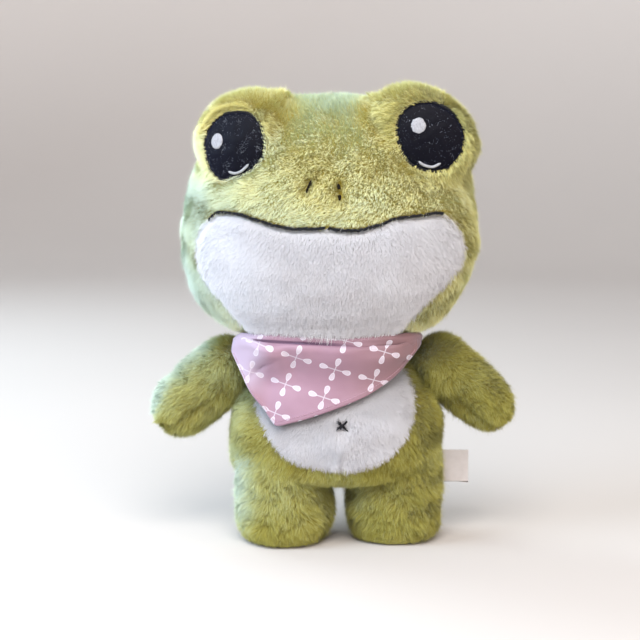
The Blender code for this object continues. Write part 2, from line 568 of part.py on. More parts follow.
# --------------------------------------------------------------------- torso
def build_torso(parent):
    outer = body_shape(TORSO, TORSO_RINGS, 26, lambda z: TORSO_X)
    core = offset(body_shape(TORSO, TORSO_RINGS[1::2], 16, lambda z: TORSO_X), -PILE_CLOTH - 3 * GAP)
    c_in = make("cut_torso_inside", *offset(outer, -PILE_CLOTH), parent=parent)
    c_neck = make("cut_torso_neck", *ellipsoid(NECK, (NECK_BALL_R + CLEAR,) * 3, 20, 12), parent=parent)
    c_back = make("cut_torso_back_half", *block(-120, 120, TORSO_SEAM_Y - GAP / 2, 120, 0, 150), parent=parent)
    c_front = make("cut_torso_front_half", *block(-120, 120, -120, TORSO_SEAM_Y + GAP / 2, 0, 150), parent=parent)
    c_lside = make("cut_torso_left_half", *block(TORSO_X - GAP / 2, 120, -120, 120, 0, 150), parent=parent)
    c_rside = make("cut_torso_right_half", *block(-120, TORSO_X + GAP / 2, -120, 120, 0, 150), parent=parent)
    c_hole = make("cut_belly_hole", *prism(BELLY, -90, -10, GAP / 2), parent=parent)
    c_shape = make("cut_belly_shape", *prism(BELLY, -90, -10, -GAP / 2), parent=parent)
    joints = [c_neck]
    for side in ("right", "left"):
        joints.append(make("cut_shoulder_" + side, *arm_shape(side, CLEAR + 0.4, ARM_DOWN_DEG), parent=parent))
        r0 = ARMS[side][2][0][1] + SOCKET_CLEAR
        joints.append(make("cut_shoulder_socket_" + side,
                           *ellipsoid(ARMS[side][0], (r0, r0 - ARMS[side][2][0][1] * (1.0 - ARM_FLAT), r0), 22, 12),
                           parent=parent))
        # a round socket, and room for the stump as it swings
        cx, cy = LEGS[side]
        socket = ellipsoid((cx, cy, HIP_Z), (LEG_R + SOCKET_CLEAR,) * 3, 20, 12)
        joints.append(make("cut_hip_" + side, *socket, parent=parent))
        turns = np.linspace(LEG_BACK_DEG, LEG_FORWARD_DEG, 3)
        joints += [make("cut_stump_%s_%d" % (side, i),
                        *leg_shape(side, CLEAR + 1.1, float(t), flat=False, dome=-3.5),
                        parent=parent) for i, t in enumerate(turns)]
    front = make("torso_front_panel", *outer, look="green_plush", parent=parent)
    cut(front, c_in, c_back, c_hole, *joints)
    belly = make("belly_panel", *outer, look="white_plush", parent=parent)
    cut(belly, c_in)
    cut(belly, c_shape, keep=True)
    cut(belly, *joints)
    for side, half in (("left", c_rside), ("right", c_lside)):
        back = make("torso_back_panel_" + side, *outer, look="green_plush", parent=parent)
        cut(back, c_in, c_front, half, *joints)
    fill = make("torso_stuffing", *core, look="stuffing", parent=parent)
    cut(fill, *joints)

    # crossed stitches of the navel
    x0, z0 = NAVEL
    arm, w = 3.6, 0.75
    inner = []
    for k in range(4):
        a = math.pi / 4 + k * math.pi / 2
        d, s = Vector((math.cos(a), 0.84 * math.sin(a))), Vector((-math.sin(a), 0.84 * math.cos(a)))
        inner += [d * arm - s * w, d * arm + s * w, (d + s) * w]
    outline = [(x0 + p.x, z0 + p.y) for p in inner]
    y = table_front(TORSO, x0, z0, TORSO_X)
    make("navel_stitch", *prism(outline, y - GAP - 1.1, y - GAP - 0.2), look="black_thread", parent=parent)


# --------------------------------------------------------------------- scarf
def bib_y(x):
    return 49.2 * math.sqrt(max(0.05, 1.0 - (x / 72.0) ** 2))


def build_scarf(band_parent, bib_parent, bib_origin):
    rx, rf, rb, t, z0, z1 = BAND
    seg = 32
    verts, faces = [], []
    for z, d in ((z0, 0.0), (z1, 0.0), (z1, t), (z0, t)):
        verts += [(x, y, z) for x, y in section(seg, rx - d, rf - d, rb - d, 2.0)]
    for q in range(4):
        a, b = q * seg, ((q + 1) % 4) * seg
        faces += [(a + k, a + (k + 1) % seg, b + (k + 1) % seg, b + k) for k in range(seg)]
    make("scarf_band", verts, faces, look="pink_cotton", parent=band_parent)

    xs = [p[0] for p in BIB_EDGE]
    rows = 5
    verts, faces = [], []
    for h in (0.0, BIB_THICK):
        for x, zb in BIB_EDGE:
            for r in range(rows):
                z = BIB_TOP_Z + (zb - BIB_TOP_Z) * r / (rows - 1)
                y = bib_y(x) - h
                verts.append((x, -y, z))
    cols = len(xs)
    base = cols * rows
    for i in range(cols - 1):
        for r in range(rows - 1):
            a, b = i * rows + r, (i + 1) * rows + r
            faces.append((a, b, b + 1, a + 1))
            faces.append((base + a, base + a + 1, base + b + 1, base + b))
    for i in range(cols - 1):
        a, b = i * rows, (i + 1) * rows
        faces.append((a, base + a, base + b, b))
        a, b = a + rows - 1, b + rows - 1
        faces.append((a, b, base + b, base + a))
    for r in range(rows - 1):
        faces.append((r, r + 1, base + r + 1, base + r))
        a = (cols - 1) * rows + r
        faces.append((a, base + a, base + a + 1, a + 1))
    make("scarf_bib", verts, faces, look="pink_cotton", parent=bib_parent, origin=bib_origin)

    # the ends are knotted at the nape
    yk = rb + GAP + 4.2
    knot = ellipsoid((0.0, yk, 105.0), (6.6, 4.2, 4.6), 14, 8)
    make("scarf_knot", *knot, look="pink_cotton", parent=band_parent)
    for side, sgn in (("right", -1.0), ("left", 1.0)):
        m = (Matrix.Translation(Vector((sgn * 4.6, yk - 1.0, 100.6)))
             @ Matrix.Rotation(math.radians(sgn * -24.0), 4, "Y")
             @ Matrix.Rotation(math.radians(4.0), 4, "X"))
        tail = moved(block(-3.6, 3.6, -0.8, 0.8, -19.0, -3.0), m)
        make("scarf_tail_" + side, *tail, look="pink_cotton", parent=band_parent)


def build_label(parent, origin):
    """Satin tape folded in two, its ends in the side seam."""
    x0, x1, z0, z1, t = LABEL
    y0, y1 = LABEL_Y - t - GAP / 2, LABEL_Y + t + GAP / 2
    plan = [(x0, y0), (x1 - 0.3, y0), (x1, y0 + 0.4), (x1, y1 - 0.4), (x1 - 0.3, y1), (x0, y1),
            (x0, y1 - t), (x1 - 0.8, y1 - t), (x1 - 0.8, y0 + t), (x0, y0 + t)]
    n = len(plan)
    verts = [(x, y, z) for z in (z0, z1) for x, y in plan]
    faces = [tuple(range(n))[::-1], tuple(range(n, 2 * n))]
    faces += [(i, (i + 1) % n, n + (i + 1) % n, n + i) for i in range(n)]
    make("care_label", verts, faces, look="white_satin", parent=parent, origin=origin)


# ------------------------------------------------------------------ assembly
def main():
    clear_scene()
    torso = pivot("torso_frame", (0.0, 0.0, 0.0))
    neck = pivot("neck_pivot", NECK, torso)
    head = pivot("head_pivot", NECK, neck, HEAD_YAW_DEG)
    build_torso(torso)
    make("neck_stuffing", *ellipsoid(NECK, (NECK_BALL_R,) * 3, 20, 12), look="stuffing",
         parent=neck, origin=NECK)
    build_head(head)
    for side in ("right", "left"):
        build_arm(side, pivot("shoulder_pivot_" + side, ARMS[side][0], torso))
        cx, cy = LEGS[side]
        build_leg(side, pivot("hip_pivot_" + side, (cx, cy, HIP_Z), torso))
    bib_at = (0.0, -bib_y(0.0) + BIB_THICK / 2, BIB_TOP_Z - 0.9)
    build_scarf(torso, pivot("bib_pivot", bib_at, torso), bib_at)
    label_at = (LABEL[0], LABEL_Y, (LABEL[2] + LABEL[3]) / 2)
    build_label(pivot("label_pivot", label_at, torso), label_at)


main()
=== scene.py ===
"""Looks of the standing plush frog: pile, cloth, embroidery, scarf, light and camera.

Tables are in millimetres in the frame of the CAD model: front is -Y, up is +Z,
"left" and "right" are the frog's own (its right side is at -X).
"""

import math

import bmesh
import bpy
import numpy as np
from mathutils import Matrix, Vector


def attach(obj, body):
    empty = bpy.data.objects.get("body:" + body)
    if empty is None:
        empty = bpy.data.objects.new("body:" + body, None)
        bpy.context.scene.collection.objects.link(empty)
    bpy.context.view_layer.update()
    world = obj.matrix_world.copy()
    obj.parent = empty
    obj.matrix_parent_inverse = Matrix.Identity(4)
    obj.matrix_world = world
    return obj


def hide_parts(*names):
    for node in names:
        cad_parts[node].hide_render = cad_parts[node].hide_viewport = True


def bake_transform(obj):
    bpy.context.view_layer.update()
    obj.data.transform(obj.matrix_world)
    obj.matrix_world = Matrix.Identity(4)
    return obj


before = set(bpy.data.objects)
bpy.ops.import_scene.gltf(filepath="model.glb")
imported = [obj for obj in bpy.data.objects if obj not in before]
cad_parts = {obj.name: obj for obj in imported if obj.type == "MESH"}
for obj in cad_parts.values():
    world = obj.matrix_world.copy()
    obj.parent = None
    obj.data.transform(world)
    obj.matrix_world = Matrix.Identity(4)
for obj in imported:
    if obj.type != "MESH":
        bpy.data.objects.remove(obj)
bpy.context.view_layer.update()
MM = 0.001

# ------------------------------------------------------------------ camera
cam_data = bpy.data.cameras.new("camera")
cam_data.lens = 101.25
cam_data.sensor_width = 36.0
cam_data.clip_start, cam_data.clip_end = 0.05, 20.0
camera = bpy.data.objects.new("camera", cam_data)
camera.location = (-0.0076, -0.980, 0.250)
camera.rotation_euler = (math.radians(82.4), 0.0, 0.0)
bpy.context.scene.collection.objects.link(camera)
bpy.context.scene.camera = camera

# ------------------------------------------------- dimensions, as in the CAD
PILE = 6.0
HEAD_YAW = math.radians(-5.0)
HEAD_SEAM_Y, TORSO_SEAM_Y, TORSO_X = 6.0, 3.0, 1.2
NECK, NECK_R = np.array((0.0, 0.0, 109.0)), 24.0
HEAD = np.array([
    (110.0, 0.0, 0.0, 0.0), (110.8, 30.0, 24.0, 24.0), (113.0, 46.0, 37.0, 36.0),
    (116.0, 54.0, 45.0, 43.0), (119.0, 59.0, 50.0, 47.0), (125.0, 65.5, 55.5, 52.0),
    (131.4, 71.0, 59.5, 56.0), (145.0, 77.8, 64.5, 61.0), (160.6, 81.0, 66.0, 64.0),
    (175.0, 80.6, 64.5, 65.0), (188.0, 78.4, 61.0, 63.0), (204.0, 74.0, 54.5, 58.5),
    (220.0, 63.0, 44.5, 49.0), (232.0, 48.0, 33.5, 37.0), (240.0, 31.0, 21.0, 24.0),
    (244.5, 0.0, 0.0, 0.0)])
HEAD_LEAN = np.array([(110.0, -3.5), (131.0, -3.4), (160.0, -1.9), (190.0, -1.8), (222.0, 0.4),
                      (244.5, 0.4)])
TORSO = np.array([
    (28.5, 0.0, 0.0, 0.0), (30.5, 30.0, 23.0, 26.0), (33.5, 46.0, 34.0, 36.0),
    (37.0, 54.0, 40.0, 41.0), (42.0, 57.0, 43.5, 43.5), (50.0, 58.3, 46.0, 44.5),
    (62.0, 58.3, 46.5, 44.0), (75.0, 56.0, 45.5, 42.5), (88.0, 49.5, 42.5, 40.0),
    (98.0, 41.0, 37.5, 36.0), (103.0, 33.0, 32.0, 31.0), (105.5, 26.0, 26.0, 25.0),
    (107.0, 16.0, 16.0, 15.0), (107.5, 0.0, 0.0, 0.0)])
# centre, radii and tilt of the eye lobes, which rise towards the middle of the head
BUMPS = {"right": ((-46.6, -20.0, 221.4), (27.5, 24.5, 24.0), 30.0),
         "left": ((48.3, -20.0, 222.6), (32.0, 25.0, 25.0), -30.0)}
EYES = {"right": ((-48.9, -41.5, 215.8), -17.0, 9.0, 17.6, 18.6),
        "left": ((53.6, -41.5, 220.7), 9.0, 6.0, 18.5, 19.6)}
EYE_BULGE_R = 60.0
# distance of the eye's edge from its middle, every 15 degrees from the frog's
# right in the eye's own plane
EYE_EDGE = {
    "right": (19.0, 18.8, 19.2, 19.8, 19.6, 18.2, 16.4, 15.7, 15.4, 15.6, 16.2, 16.6, 16.5, 16.6, 17.0,
              17.7, 18.5, 18.8, 18.8, 18.9, 19.4, 19.5, 19.4, 19.3),
    "left": (17.6, 16.9, 16.7, 17.1, 17.3, 17.3, 17.7, 18.6, 18.8, 18.7, 18.5, 18.5, 18.4, 18.2, 17.9,
             17.8, 17.7, 18.0, 18.8, 19.4, 19.8, 19.9, 19.4, 18.4)}
GLINTS = {"right": ((-10.4, 2.5), (3.5, 4.1)), "left": ((-6.4, 5.9), (3.8, 4.1))}
ARCS = {"right": ((-3.2, -13.2), (-1.1, -13.9), (1.2, -14.1), (4.0, -13.1), (6.2, -11.4), (8.4, -9.2)),
        "left": ((-6.4, -12.3), (-4.6, -13.8), (-2.0, -14.9), (1.2, -15.2), (5.2, -13.4))}
MOUTH = ((-62.6, 177.8), (-61.4, 178.9), (-58.6, 181.2), (-55.5, 181.9), (-49.0, 181.8), (-42.0, 180.6),
         (-33.3, 178.1), (-22.7, 175.4), (-14.9, 174.5), (-7.1, 174.6), (1.1, 175.0),
         (5.7, 174.5), (12.8, 173.7), (20.9, 174.7), (28.5, 176.8), (34.0, 179.0),
         (39.5, 180.4), (48.1, 180.9), (56.1, 182.0), (61.0, 181.6))
MUZZLE = ((-61.4, 178.4), (-58.6, 180.7), (-55.5, 181.4), (-49.0, 181.3), (-42.0, 180.1),
          (-33.3, 177.6), (-22.7, 174.9), (-14.9, 174.0), (-7.1, 174.1), (1.1, 174.5),
          (5.7, 174.0), (12.8, 173.2), (20.9, 174.2), (28.5, 176.3), (34.0, 178.5),
          (39.5, 179.9), (48.1, 180.4), (56.1, 181.5), (61.7, 180.9), (67.5, 175.5),
          (71.2, 167.7), (72.4, 160.5), (70.6, 152.5), (66.1, 146.0), (60.5, 140.5),
          (54.4, 135.0), (48.5, 129.0), (42.6, 121.5), (34.5, 115.2), (22.2, 112.9),
          (0.9, 112.4), (-26.3, 112.9), (-41.5, 115.6), (-50.1, 124.0), (-57.6, 134.5),
          (-65.1, 142.3), (-69.8, 150.1), (-71.4, 159.0), (-70.5, 167.5), (-67.0, 174.0))
NOSTRILS = {"right": ((-7.6, 199.2), (-8.4, 197.2), (-9.5, 194.6)),
            "left": ((6.9, 197.4), (7.4, 194.0), (7.6, 190.4))}
BELLY = ((-43.6, 84.0), (-43.3, 77.3), (-40.5, 69.0), (-35.7, 60.5), (-31.0, 53.8),
         (-25.1, 48.9), (-18.0, 45.8), (-10.8, 44.2), (-2.0, 42.8), (5.2, 42.3),
         (13.5, 43.2), (21.1, 45.5), (28.2, 49.3), (34.3, 54.3), (39.2, 60.5),
         (42.6, 68.0), (44.0, 76.5), (43.4, 85.5), (40.6, 93.5), (35.5, 99.5),
         (26.0, 102.5), (12.0, 103.6), (-4.0, 103.6), (-20.0, 102.5), (-31.0, 99.0),
         (-38.6, 93.0))
NAVEL = (4.0, 68.9)
ARMS = {"right": ((-58.5, -2.0, 92.0), 38.0,
                  ((0.0, 19.4), (17.0, 19.3), (30.0, 18.3), (40.0, 15.2), (46.5, 10.0), (49.8, 0.0))),
        "left": ((58.5, -2.0, 95.0), 39.5,
                 ((0.0, 18.0), (16.0, 17.4), (30.0, 16.8), (41.0, 13.6), (48.0, 8.6), (51.2, 0.0)))}
ARM_FLAT = 0.9
LEGS = {"right": (-27.0, -12.5), "left": (33.0, -6.5)}
HIP_Z, LEG_R = 40.0, 26.2
LEG_RINGS = np.array([(0.0, 17.0, 20.0), (0.8, 20.0, 23.0), (1.4, 21.8, 24.8), (4.0, 24.0, 27.0), (9.0, 26.0, 29.0),
                      (17.0, 26.8, 29.6), (26.0, 26.7, 28.4), (34.0, 26.4, 26.8), (40.0, 26.2, 26.2)])
SOLE = (19.4, 22.4, 4.0)
BIB_TOP = ((-54.9, 108.0), (-53.6, 112.2), (-50.0, 114.6), (-44.5, 115.0), (-40.8, 113.9),
           (-31.0, 113.3), (-18.0, 113.3), (0.0, 112.6), (14.0, 111.7), (30.0, 112.0), (44.3, 113.6))
BIB_EDGE = ((-54.9, 106.0), (-49.5, 95.5), (-44.4, 85.5), (-37.5, 77.0), (-30.3, 68.4),
            (-23.5, 70.2), (-16.6, 72.2), (-6.0, 75.9), (4.5, 79.7), (11.5, 82.5),
            (18.2, 85.5), (25.0, 89.4), (31.3, 93.7), (38.6, 100.6), (44.3, 107.8))
# middle line of the rolled band round the neck: x, y, z, roll radius
BAND_PATH = ((0.0, -46.0, 113.6, 3.2), (-15.0, -45.2, 114.0, 3.2), (-30.0, -42.4, 114.0, 3.3),
             (-42.0, -37.2, 113.0, 3.8), (-49.2, -30.0, 111.2, 4.4), (-51.0, -21.0, 109.6, 4.2),
             (-48.3, -10.0, 108.6, 3.8), (-44.0, 3.0, 108.0, 3.6), (-38.0, 17.0, 107.0, 3.5),
             (-28.5, 30.0, 106.0, 3.4), (-15.0, 39.6, 105.4, 3.3), (0.0, 42.6, 105.2, 3.2),
             (15.0, 39.6, 105.4, 3.3), (28.0, 30.0, 106.0, 3.4), (36.5, 17.0, 107.0, 3.5),
             (41.0, 4.0, 108.2, 3.5), (43.4, -8.0, 109.2, 3.6), (44.6, -19.0, 110.8, 3.8),
             (42.8, -29.0, 112.4, 3.9), (37.2, -37.0, 113.4, 3.7), (28.0, -42.4, 113.6, 3.5),
             (14.5, -45.8, 113.5, 3.3))
LABEL = (60.1, 75.6, 28.2, 46.2)
LABEL_Y = 3.0


# ------------------------------------------------------------------- helpers
def pchip(xs, ys, q):
    """Monotone cubic through a table."""
    xs, ys = np.asarray(xs, float), np.asarray(ys, float)
    h = np.diff(xs)
    d = np.diff(ys) / h
    m = np.zeros_like(ys)
    for i in range(1, len(xs) - 1):
        if d[i - 1] * d[i] > 0:
            a, b = 2 * h[i] + h[i - 1], h[i] + 2 * h[i - 1]
            m[i] = (a + b) / (a / d[i - 1] + b / d[i])
    m[0], m[-1] = d[0], d[-1]
    q = np.clip(np.asarray(q, float), xs[0], xs[-1])
    i = np.clip(np.searchsorted(xs, q) - 1, 0, len(h) - 1)
    t = (q - xs[i]) / h[i]
    return ((2 * t**3 - 3 * t**2 + 1) * ys[i] + (t**3 - 2 * t**2 + t) * h[i] * m[i]
            + (-2 * t**3 + 3 * t**2) * ys[i + 1] + (t**3 - t**2) * h[i] * m[i + 1])


def dense(table, n=900):
    table = np.asarray(table, float)
    q = np.linspace(table[0, 0], table[-1, 0], n)
    return [q] + [pchip(table[:, 0], table[:, k], q) for k in range(1, table.shape[1])]


def rot(axis, a):
    c, s = math.cos(a), math.sin(a)
    if axis == "X":
        return np.array([[1, 0, 0], [0, c, -s], [0, s, c]], float)
    if axis == "Y":
        return np.array([[c, 0, s], [0, 1, 0], [-s, 0, c]], float)
    return np.array([[c, -s, 0], [s, c, 0], [0, 0, 1]], float)


YAW = rot("Z", HEAD_YAW)


def to_head(p):
    return p @ YAW            # world to the head's own frame


def from_head(p):
    return p @ YAW.T


def unit(v):
    return v / np.maximum(np.linalg.norm(v, axis=-1, keepdims=True), 1e-9)


def smooth(a, b, x):
    t = np.clip((x - a) / (b - a), 0.0, 1.0)
    return t * t * (3 - 2 * t)


class Waves:
    """Smooth seeded noise of about unit size."""

    def __init__(self, seed, low, high, count=10):
        r = np.random.default_rng(seed)
        d = unit(r.normal(size=(count, 3)))
        lam = np.exp(r.uniform(math.log(low), math.log(high), count))
        self.k, self.ph = d * (2 * math.pi / lam)[:, None], r.uniform(0, 2 * math.pi, count)
        self.s = math.sqrt(2.0 / count)

    def __call__(self, p):
        out = np.zeros(len(p))
        for k, ph in zip(self.k, self.ph):
            out += np.sin(p @ k + ph)
        return out * self.s


def near_outline(q, poly, closed=True):
    """Distance from 2D points to a polyline, and whether they are inside it."""
    poly = np.asarray(poly, float)
    a = poly if closed else poly[:-1]
    b = np.roll(poly, -1, 0) if closed else poly[1:]
    best = np.full(len(q), 1e9)
    inside = np.zeros(len(q), bool)
    for (ax, az), (bx, bz) in zip(a, b):
        dx, dz = bx - ax, bz - az
        t = np.clip(((q[:, 0] - ax) * dx + (q[:, 1] - az) * dz) / (dx * dx + dz * dz), 0, 1)
        best = np.minimum(best, np.hypot(q[:, 0] - ax - t * dx, q[:, 1] - az - t * dz))
        if closed:
            cross = (az > q[:, 1]) != (bz > q[:, 1])
            with np.errstate(divide="ignore", invalid="ignore"):
                xi = ax + (q[:, 1] - az) * dx / (dz if dz else 1e-12)
            inside ^= cross & (q[:, 0] < xi)
    return best, inside


def near_path(p, path):
    """Distance from 3D points to a polyline."""
    path = np.asarray(path, float)
    best = np.full(len(p), 1e9)
    for a, b in zip(path[:-1], path[1:]):
        d = b - a
        t = np.clip((p - a) @ d / (d @ d), 0, 1)
        best = np.minimum(best, np.linalg.norm(p - a - t[:, None] * d, axis=1))
    return best


def spline(points, n, closed=False):
    """Catmull-Rom through the points, n samples spaced evenly along it."""
    p = np.asarray(points, float)
    if closed:
        p = np.vstack([p[-1:], p, p[:2]])
    else:
        p = np.vstack([2 * p[:1] - p[1:2], p, 2 * p[-1:] - p[-2:-1]])
    out = []
    for i in range(1, len(p) - 2):
        t = np.linspace(0, 1, 24, endpoint=False)[:, None]
        a, b, c, d = p[i - 1], p[i], p[i + 1], p[i + 2]
        out.append(0.5 * (2 * b + (c - a) * t + (2 * a - 5 * b + 4 * c - d) * t**2
                          + (3 * b - a - 3 * c + d) * t**3))
    out = np.vstack(out + [p[-2:-1]])
    s = np.r_[0, np.cumsum(np.linalg.norm(np.diff(out[:, :3], axis=0), axis=1))]
    q = np.linspace(0, s[-1], n, endpoint=not closed)
    return np.stack([np.interp(q, s, out[:, k]) for k in range(out.shape[1])], 1)


def table_front(table, x, z, cx=0.0, n=2.3):
    w = pchip(table[:, 0], table[:, 1], z)
    d = pchip(table[:, 0], table[:, 2], z)
    q = np.maximum(0.0, 1.0 - (np.abs(x - cx) / np.maximum(w, 1e-6)) ** n)
    return -d * q ** (1.0 / n)


def front_at(table, x, z, h, cx=0.0):
    """Points h outside the front of a body, and the normals there."""
    x, z = np.asarray(x, float), np.asarray(z, float)
    e = 0.4
    y = table_front(table, x, z, cx)
    dx = (table_front(table, x + e, z, cx) - table_front(table, x - e, z, cx)) / (2 * e)
    dz = (table_front(table, x, z + e, cx) - table_front(table, x, z - e, cx)) / (2 * e)
    n = unit(np.stack([dx, -np.ones_like(dx), dz], 1))
    return np.stack([x, y, z], 1) + n * h, n


def head_cx(z):
    return pchip(HEAD_LEAN[:, 0], HEAD_LEAN[:, 1], z)


# -------------------------------------------------------------- mesh making
def mesh_object(name, verts, quads=None, tris=None, material=None, smooth_shade=True, uv=None):
    """Mesh from arrays in millimetres. uv holds one pair for each vertex."""
    parts, counts = [], []
    if quads is not None and len(quads):
        parts.append(np.asarray(quads, np.int32).ravel())
        counts.append(np.full(len(quads), 4, np.int32))
    if tris is not None and len(tris):
        parts.append(np.asarray(tris, np.int32).ravel())
        counts.append(np.full(len(tris), 3, np.int32))
    loops, counts = np.concatenate(parts), np.concatenate(counts)
    me = bpy.data.meshes.new(name)
    me.vertices.add(len(verts))
    me.vertices.foreach_set("co", (np.asarray(verts, np.float64) * MM).astype(np.float32).ravel())
    me.loops.add(len(loops))
    me.loops.foreach_set("vertex_index", loops)
    me.polygons.add(len(counts))
    starts = np.zeros(len(counts), np.int32)
    starts[1:] = np.cumsum(counts)[:-1]
    me.polygons.foreach_set("loop_start", starts)
    me.update(calc_edges=True)
    me.polygons.foreach_set("use_smooth", np.full(len(counts), smooth_shade, bool))
    if uv is not None:
        layer = me.uv_layers.new(name="OFBake")
        layer.uv.foreach_set("vector", np.asarray(uv, np.float32)[loops].ravel())
    me.validate()
    ob = bpy.data.objects.new(name, me)
    bpy.context.scene.collection.objects.link(ob)
    if material is not None:
        me.materials.append(material)
    return ob


def grid_faces(rows, cols, close_cols=False, close_rows=False, base=0):
    """Quads of a rows x cols grid of vertices."""
    f = []
    for i in range(rows if close_rows else rows - 1):
        for j in range(cols if close_cols else cols - 1):
            a, b = i * cols + j, i * cols + (j + 1) % cols
            c, d = ((i + 1) % rows) * cols + (j + 1) % cols, ((i + 1) % rows) * cols + j
            f.append((base + a, base + b, base + c, base + d))
    return np.array(f, np.int32).reshape(-1, 4)


def ico(level):
    bm = bmesh.new()
    bmesh.ops.create_icosphere(bm, subdivisions=level, radius=1.0)
    v = np.array([x.co[:] for x in bm.verts])
    f = np.array([[x.index for x in q.verts] for q in bm.faces], np.int32)
    bm.free()
    return unit(v), f


ICO = {n: ico(n) for n in (5, 6, 7)}


def vertex_normals(v, f):
    fn = np.cross(v[f[:, 1]] - v[f[:, 0]], v[f[:, 2]] - v[f[:, 0]])
    out = np.zeros_like(v)
    for k in range(3):
        for c in range(3):
            out[:, c] += np.bincount(f[:, k], fn[:, c], len(v))
    return unit(out)


def neighbours_mean(v, f):
    """Mean of each vertex's neighbours."""
    out, cnt = np.zeros_like(v), np.zeros(len(v))
    for a, b in ((0, 1), (1, 2), (2, 0)):
        for i, j in ((a, b), (b, a)):
            for c in range(v.shape[1]):
                out[:, c] += np.bincount(f[:, i], v[f[:, j], c], len(v))
            cnt += np.bincount(f[:, i], minlength=len(v))
    return out / cnt[:, None]


# ------------------------------------------------------------ implicit shapes
class Loft:
    def __init__(self, table, lean, n=2.3):
        self.t, self.w, self.f, self.b = dense(table)
        lean = np.asarray(lean, float)
        self.lz, self.lx, self.n = lean[:, 0], lean[:, 1], n
        self.far = None               # rounder shape that bounds the distance from well outside

    def __call__(self, p):
        z = p[:, 2]
        w = np.maximum(np.interp(z, self.t, self.w), 1e-2)
        d = np.where(p[:, 1] < 0, np.interp(z, self.t, self.f), np.interp(z, self.t, self.b))
        d = np.maximum(d, 1e-2)
        x = np.abs(p[:, 0] - np.interp(z, self.lz, self.lx)) / w
        y = np.abs(p[:, 1]) / d
        over = np.maximum(z - self.t[-1], 0) + np.maximum(self.t[0] - z, 0)
        return (x**self.n + y**self.n + 1e-12) ** (1 / self.n) - 1 + over


class Ellipsoid:
    def __init__(self, centre, radii, axes=None):
        self.c, self.r = np.array(centre, float), np.array(radii, float)
        self.m = np.eye(3) if axes is None else np.array(axes, float).T   # columns: own axes

    def __call__(self, p):
        q = (p - self.c) @ self.m / self.r
        return np.sqrt((q * q).sum(1) + 1e-12) - 1


HEAD_LOFT = Loft(HEAD, HEAD_LEAN)
HEAD_LOFT.far = Ellipsoid((0.0, 0.0, 165.0), (80.0, 65.0, 79.5))


def lobe(side):
    c, r, tilt = BUMPS[side]
    a = math.radians(tilt)
    return Ellipsoid(c, r, ((math.cos(a), 0, math.sin(a)), (0, 1, 0), (-math.sin(a), 0, math.cos(a))))


class Arm:
    def __init__(self, side):
        c, droop, table = ARMS[side]
        self.c, sgn = np.array(c, float), -1.0 if side == "right" else 1.0
        a = math.radians(droop)
        self.d = np.array((sgn * math.cos(a), 0.0, -math.sin(a)))
        self.up = np.array((sgn * math.sin(a), 0.0, math.cos(a)))
        self.s, self.r = dense(table)
        self.r0, self.end = self.r[0], self.s[-1]
        tip = self.s > 0.93 * self.end
        k = (self.s[tip] - self.s[tip][0]) / (self.end - self.s[tip][0])
        self.r[tip] = self.r[tip][0] * np.sqrt(np.maximum(1 - k**2, 0))

    def local(self, p):
        q = p - self.c
        return q @ self.d, q @ self.up, q[:, 1]

    def __call__(self, p):
        s, u, v = self.local(p)
        r = np.where(s < 0, np.sqrt(np.maximum(self.r0**2 - s**2, 1e-4)),
                     np.interp(s, self.s, self.r))
        over = np.maximum(s - self.end, 0) + np.maximum(-self.r0 - s, 0)
        return np.sqrt(u**2 + (v / ARM_FLAT) ** 2 + 1e-9) / np.maximum(r, 1e-2) - 1 + over


class Leg:
    def __init__(self, side):
        self.c = np.array(LEGS[side] + (HIP_Z,), float)
        self.z, self.rx, self.ry = dense(LEG_RINGS)

    def __call__(self, p):
        q = p - self.c
        z = p[:, 2]
        dome = np.sqrt(np.maximum(LEG_R**2 - q[:, 2] ** 2, 1e-4))
        rx = np.where(q[:, 2] > 0, dome, np.interp(z, self.z, self.rx))
        ry = np.where(q[:, 2] > 0, dome, np.interp(z, self.z, self.ry))
        over = np.maximum(q[:, 2] - LEG_R, 0) + np.maximum(-z, 0)
        return np.sqrt((q[:, 0] / rx) ** 2 + (q[:, 1] / ry) ** 2 + 1e-12) - 1 + over


def distance(fn, p, e=0.3):
    v = fn(p)
    g = np.zeros((len(p), 3))
    for k in range(3):
        d = np.zeros(3)
        d[k] = e
        g[:, k] = (fn(p + d) - fn(p - d)) / (2 * e)
    out = v / np.maximum(np.linalg.norm(g, axis=1), 1e-4)
    if getattr(fn, "far", None) is not None:
        out = np.maximum(out, distance(fn.far, p, e) - 7.0)
    return out


def joined(fns, p, k):
    """Distance to the soft union of several shapes."""
    out = distance(fns[0], p)
    for fn, soft in zip(fns[1:], k):
        d = distance(fn, p)
        h = np.maximum(soft - np.abs(out - d), 0) / soft
        out = np.minimum(out, d) - h * h * soft / 4
    return out


def envelope(fns, soft, centre, level, reach=150.0):
    """Surface round a centre through the tips of the pile."""
    d, f = ICO[level]
    c = np.array(centre, float)
    lo, hi = np.full(len(d), 1.0), np.full(len(d), reach)
    for _ in range(20):
        mid = (lo + hi) / 2
        p = c + d * mid[:, None]
        inside = np.min([fn(p) for fn in fns], axis=0) < 0
        lo, hi = np.where(inside, mid, lo), np.where(inside, hi, mid)
    if len(fns) > 1:
        lo, hi = lo - 1.0, hi + 9.0
        for _ in range(10):
            mid = (lo + hi) / 2
            inside = joined(fns, c + d * mid[:, None], soft) < 0
            lo, hi = np.where(inside, mid, lo), np.where(inside, hi, mid)
    return c + d * ((lo + hi) / 2)[:, None], f


# ------------------------------------------------------------------ materials
def srgb(r, g, b):
    """Linear colour from sRGB bytes."""
    out = []
    for c in (r, g, b):
        c = c / 255.0
        out.append(c / 12.92 if c <= 0.04045 else ((c + 0.055) / 1.055) ** 2.4)
    return tuple(out) + (1.0,)


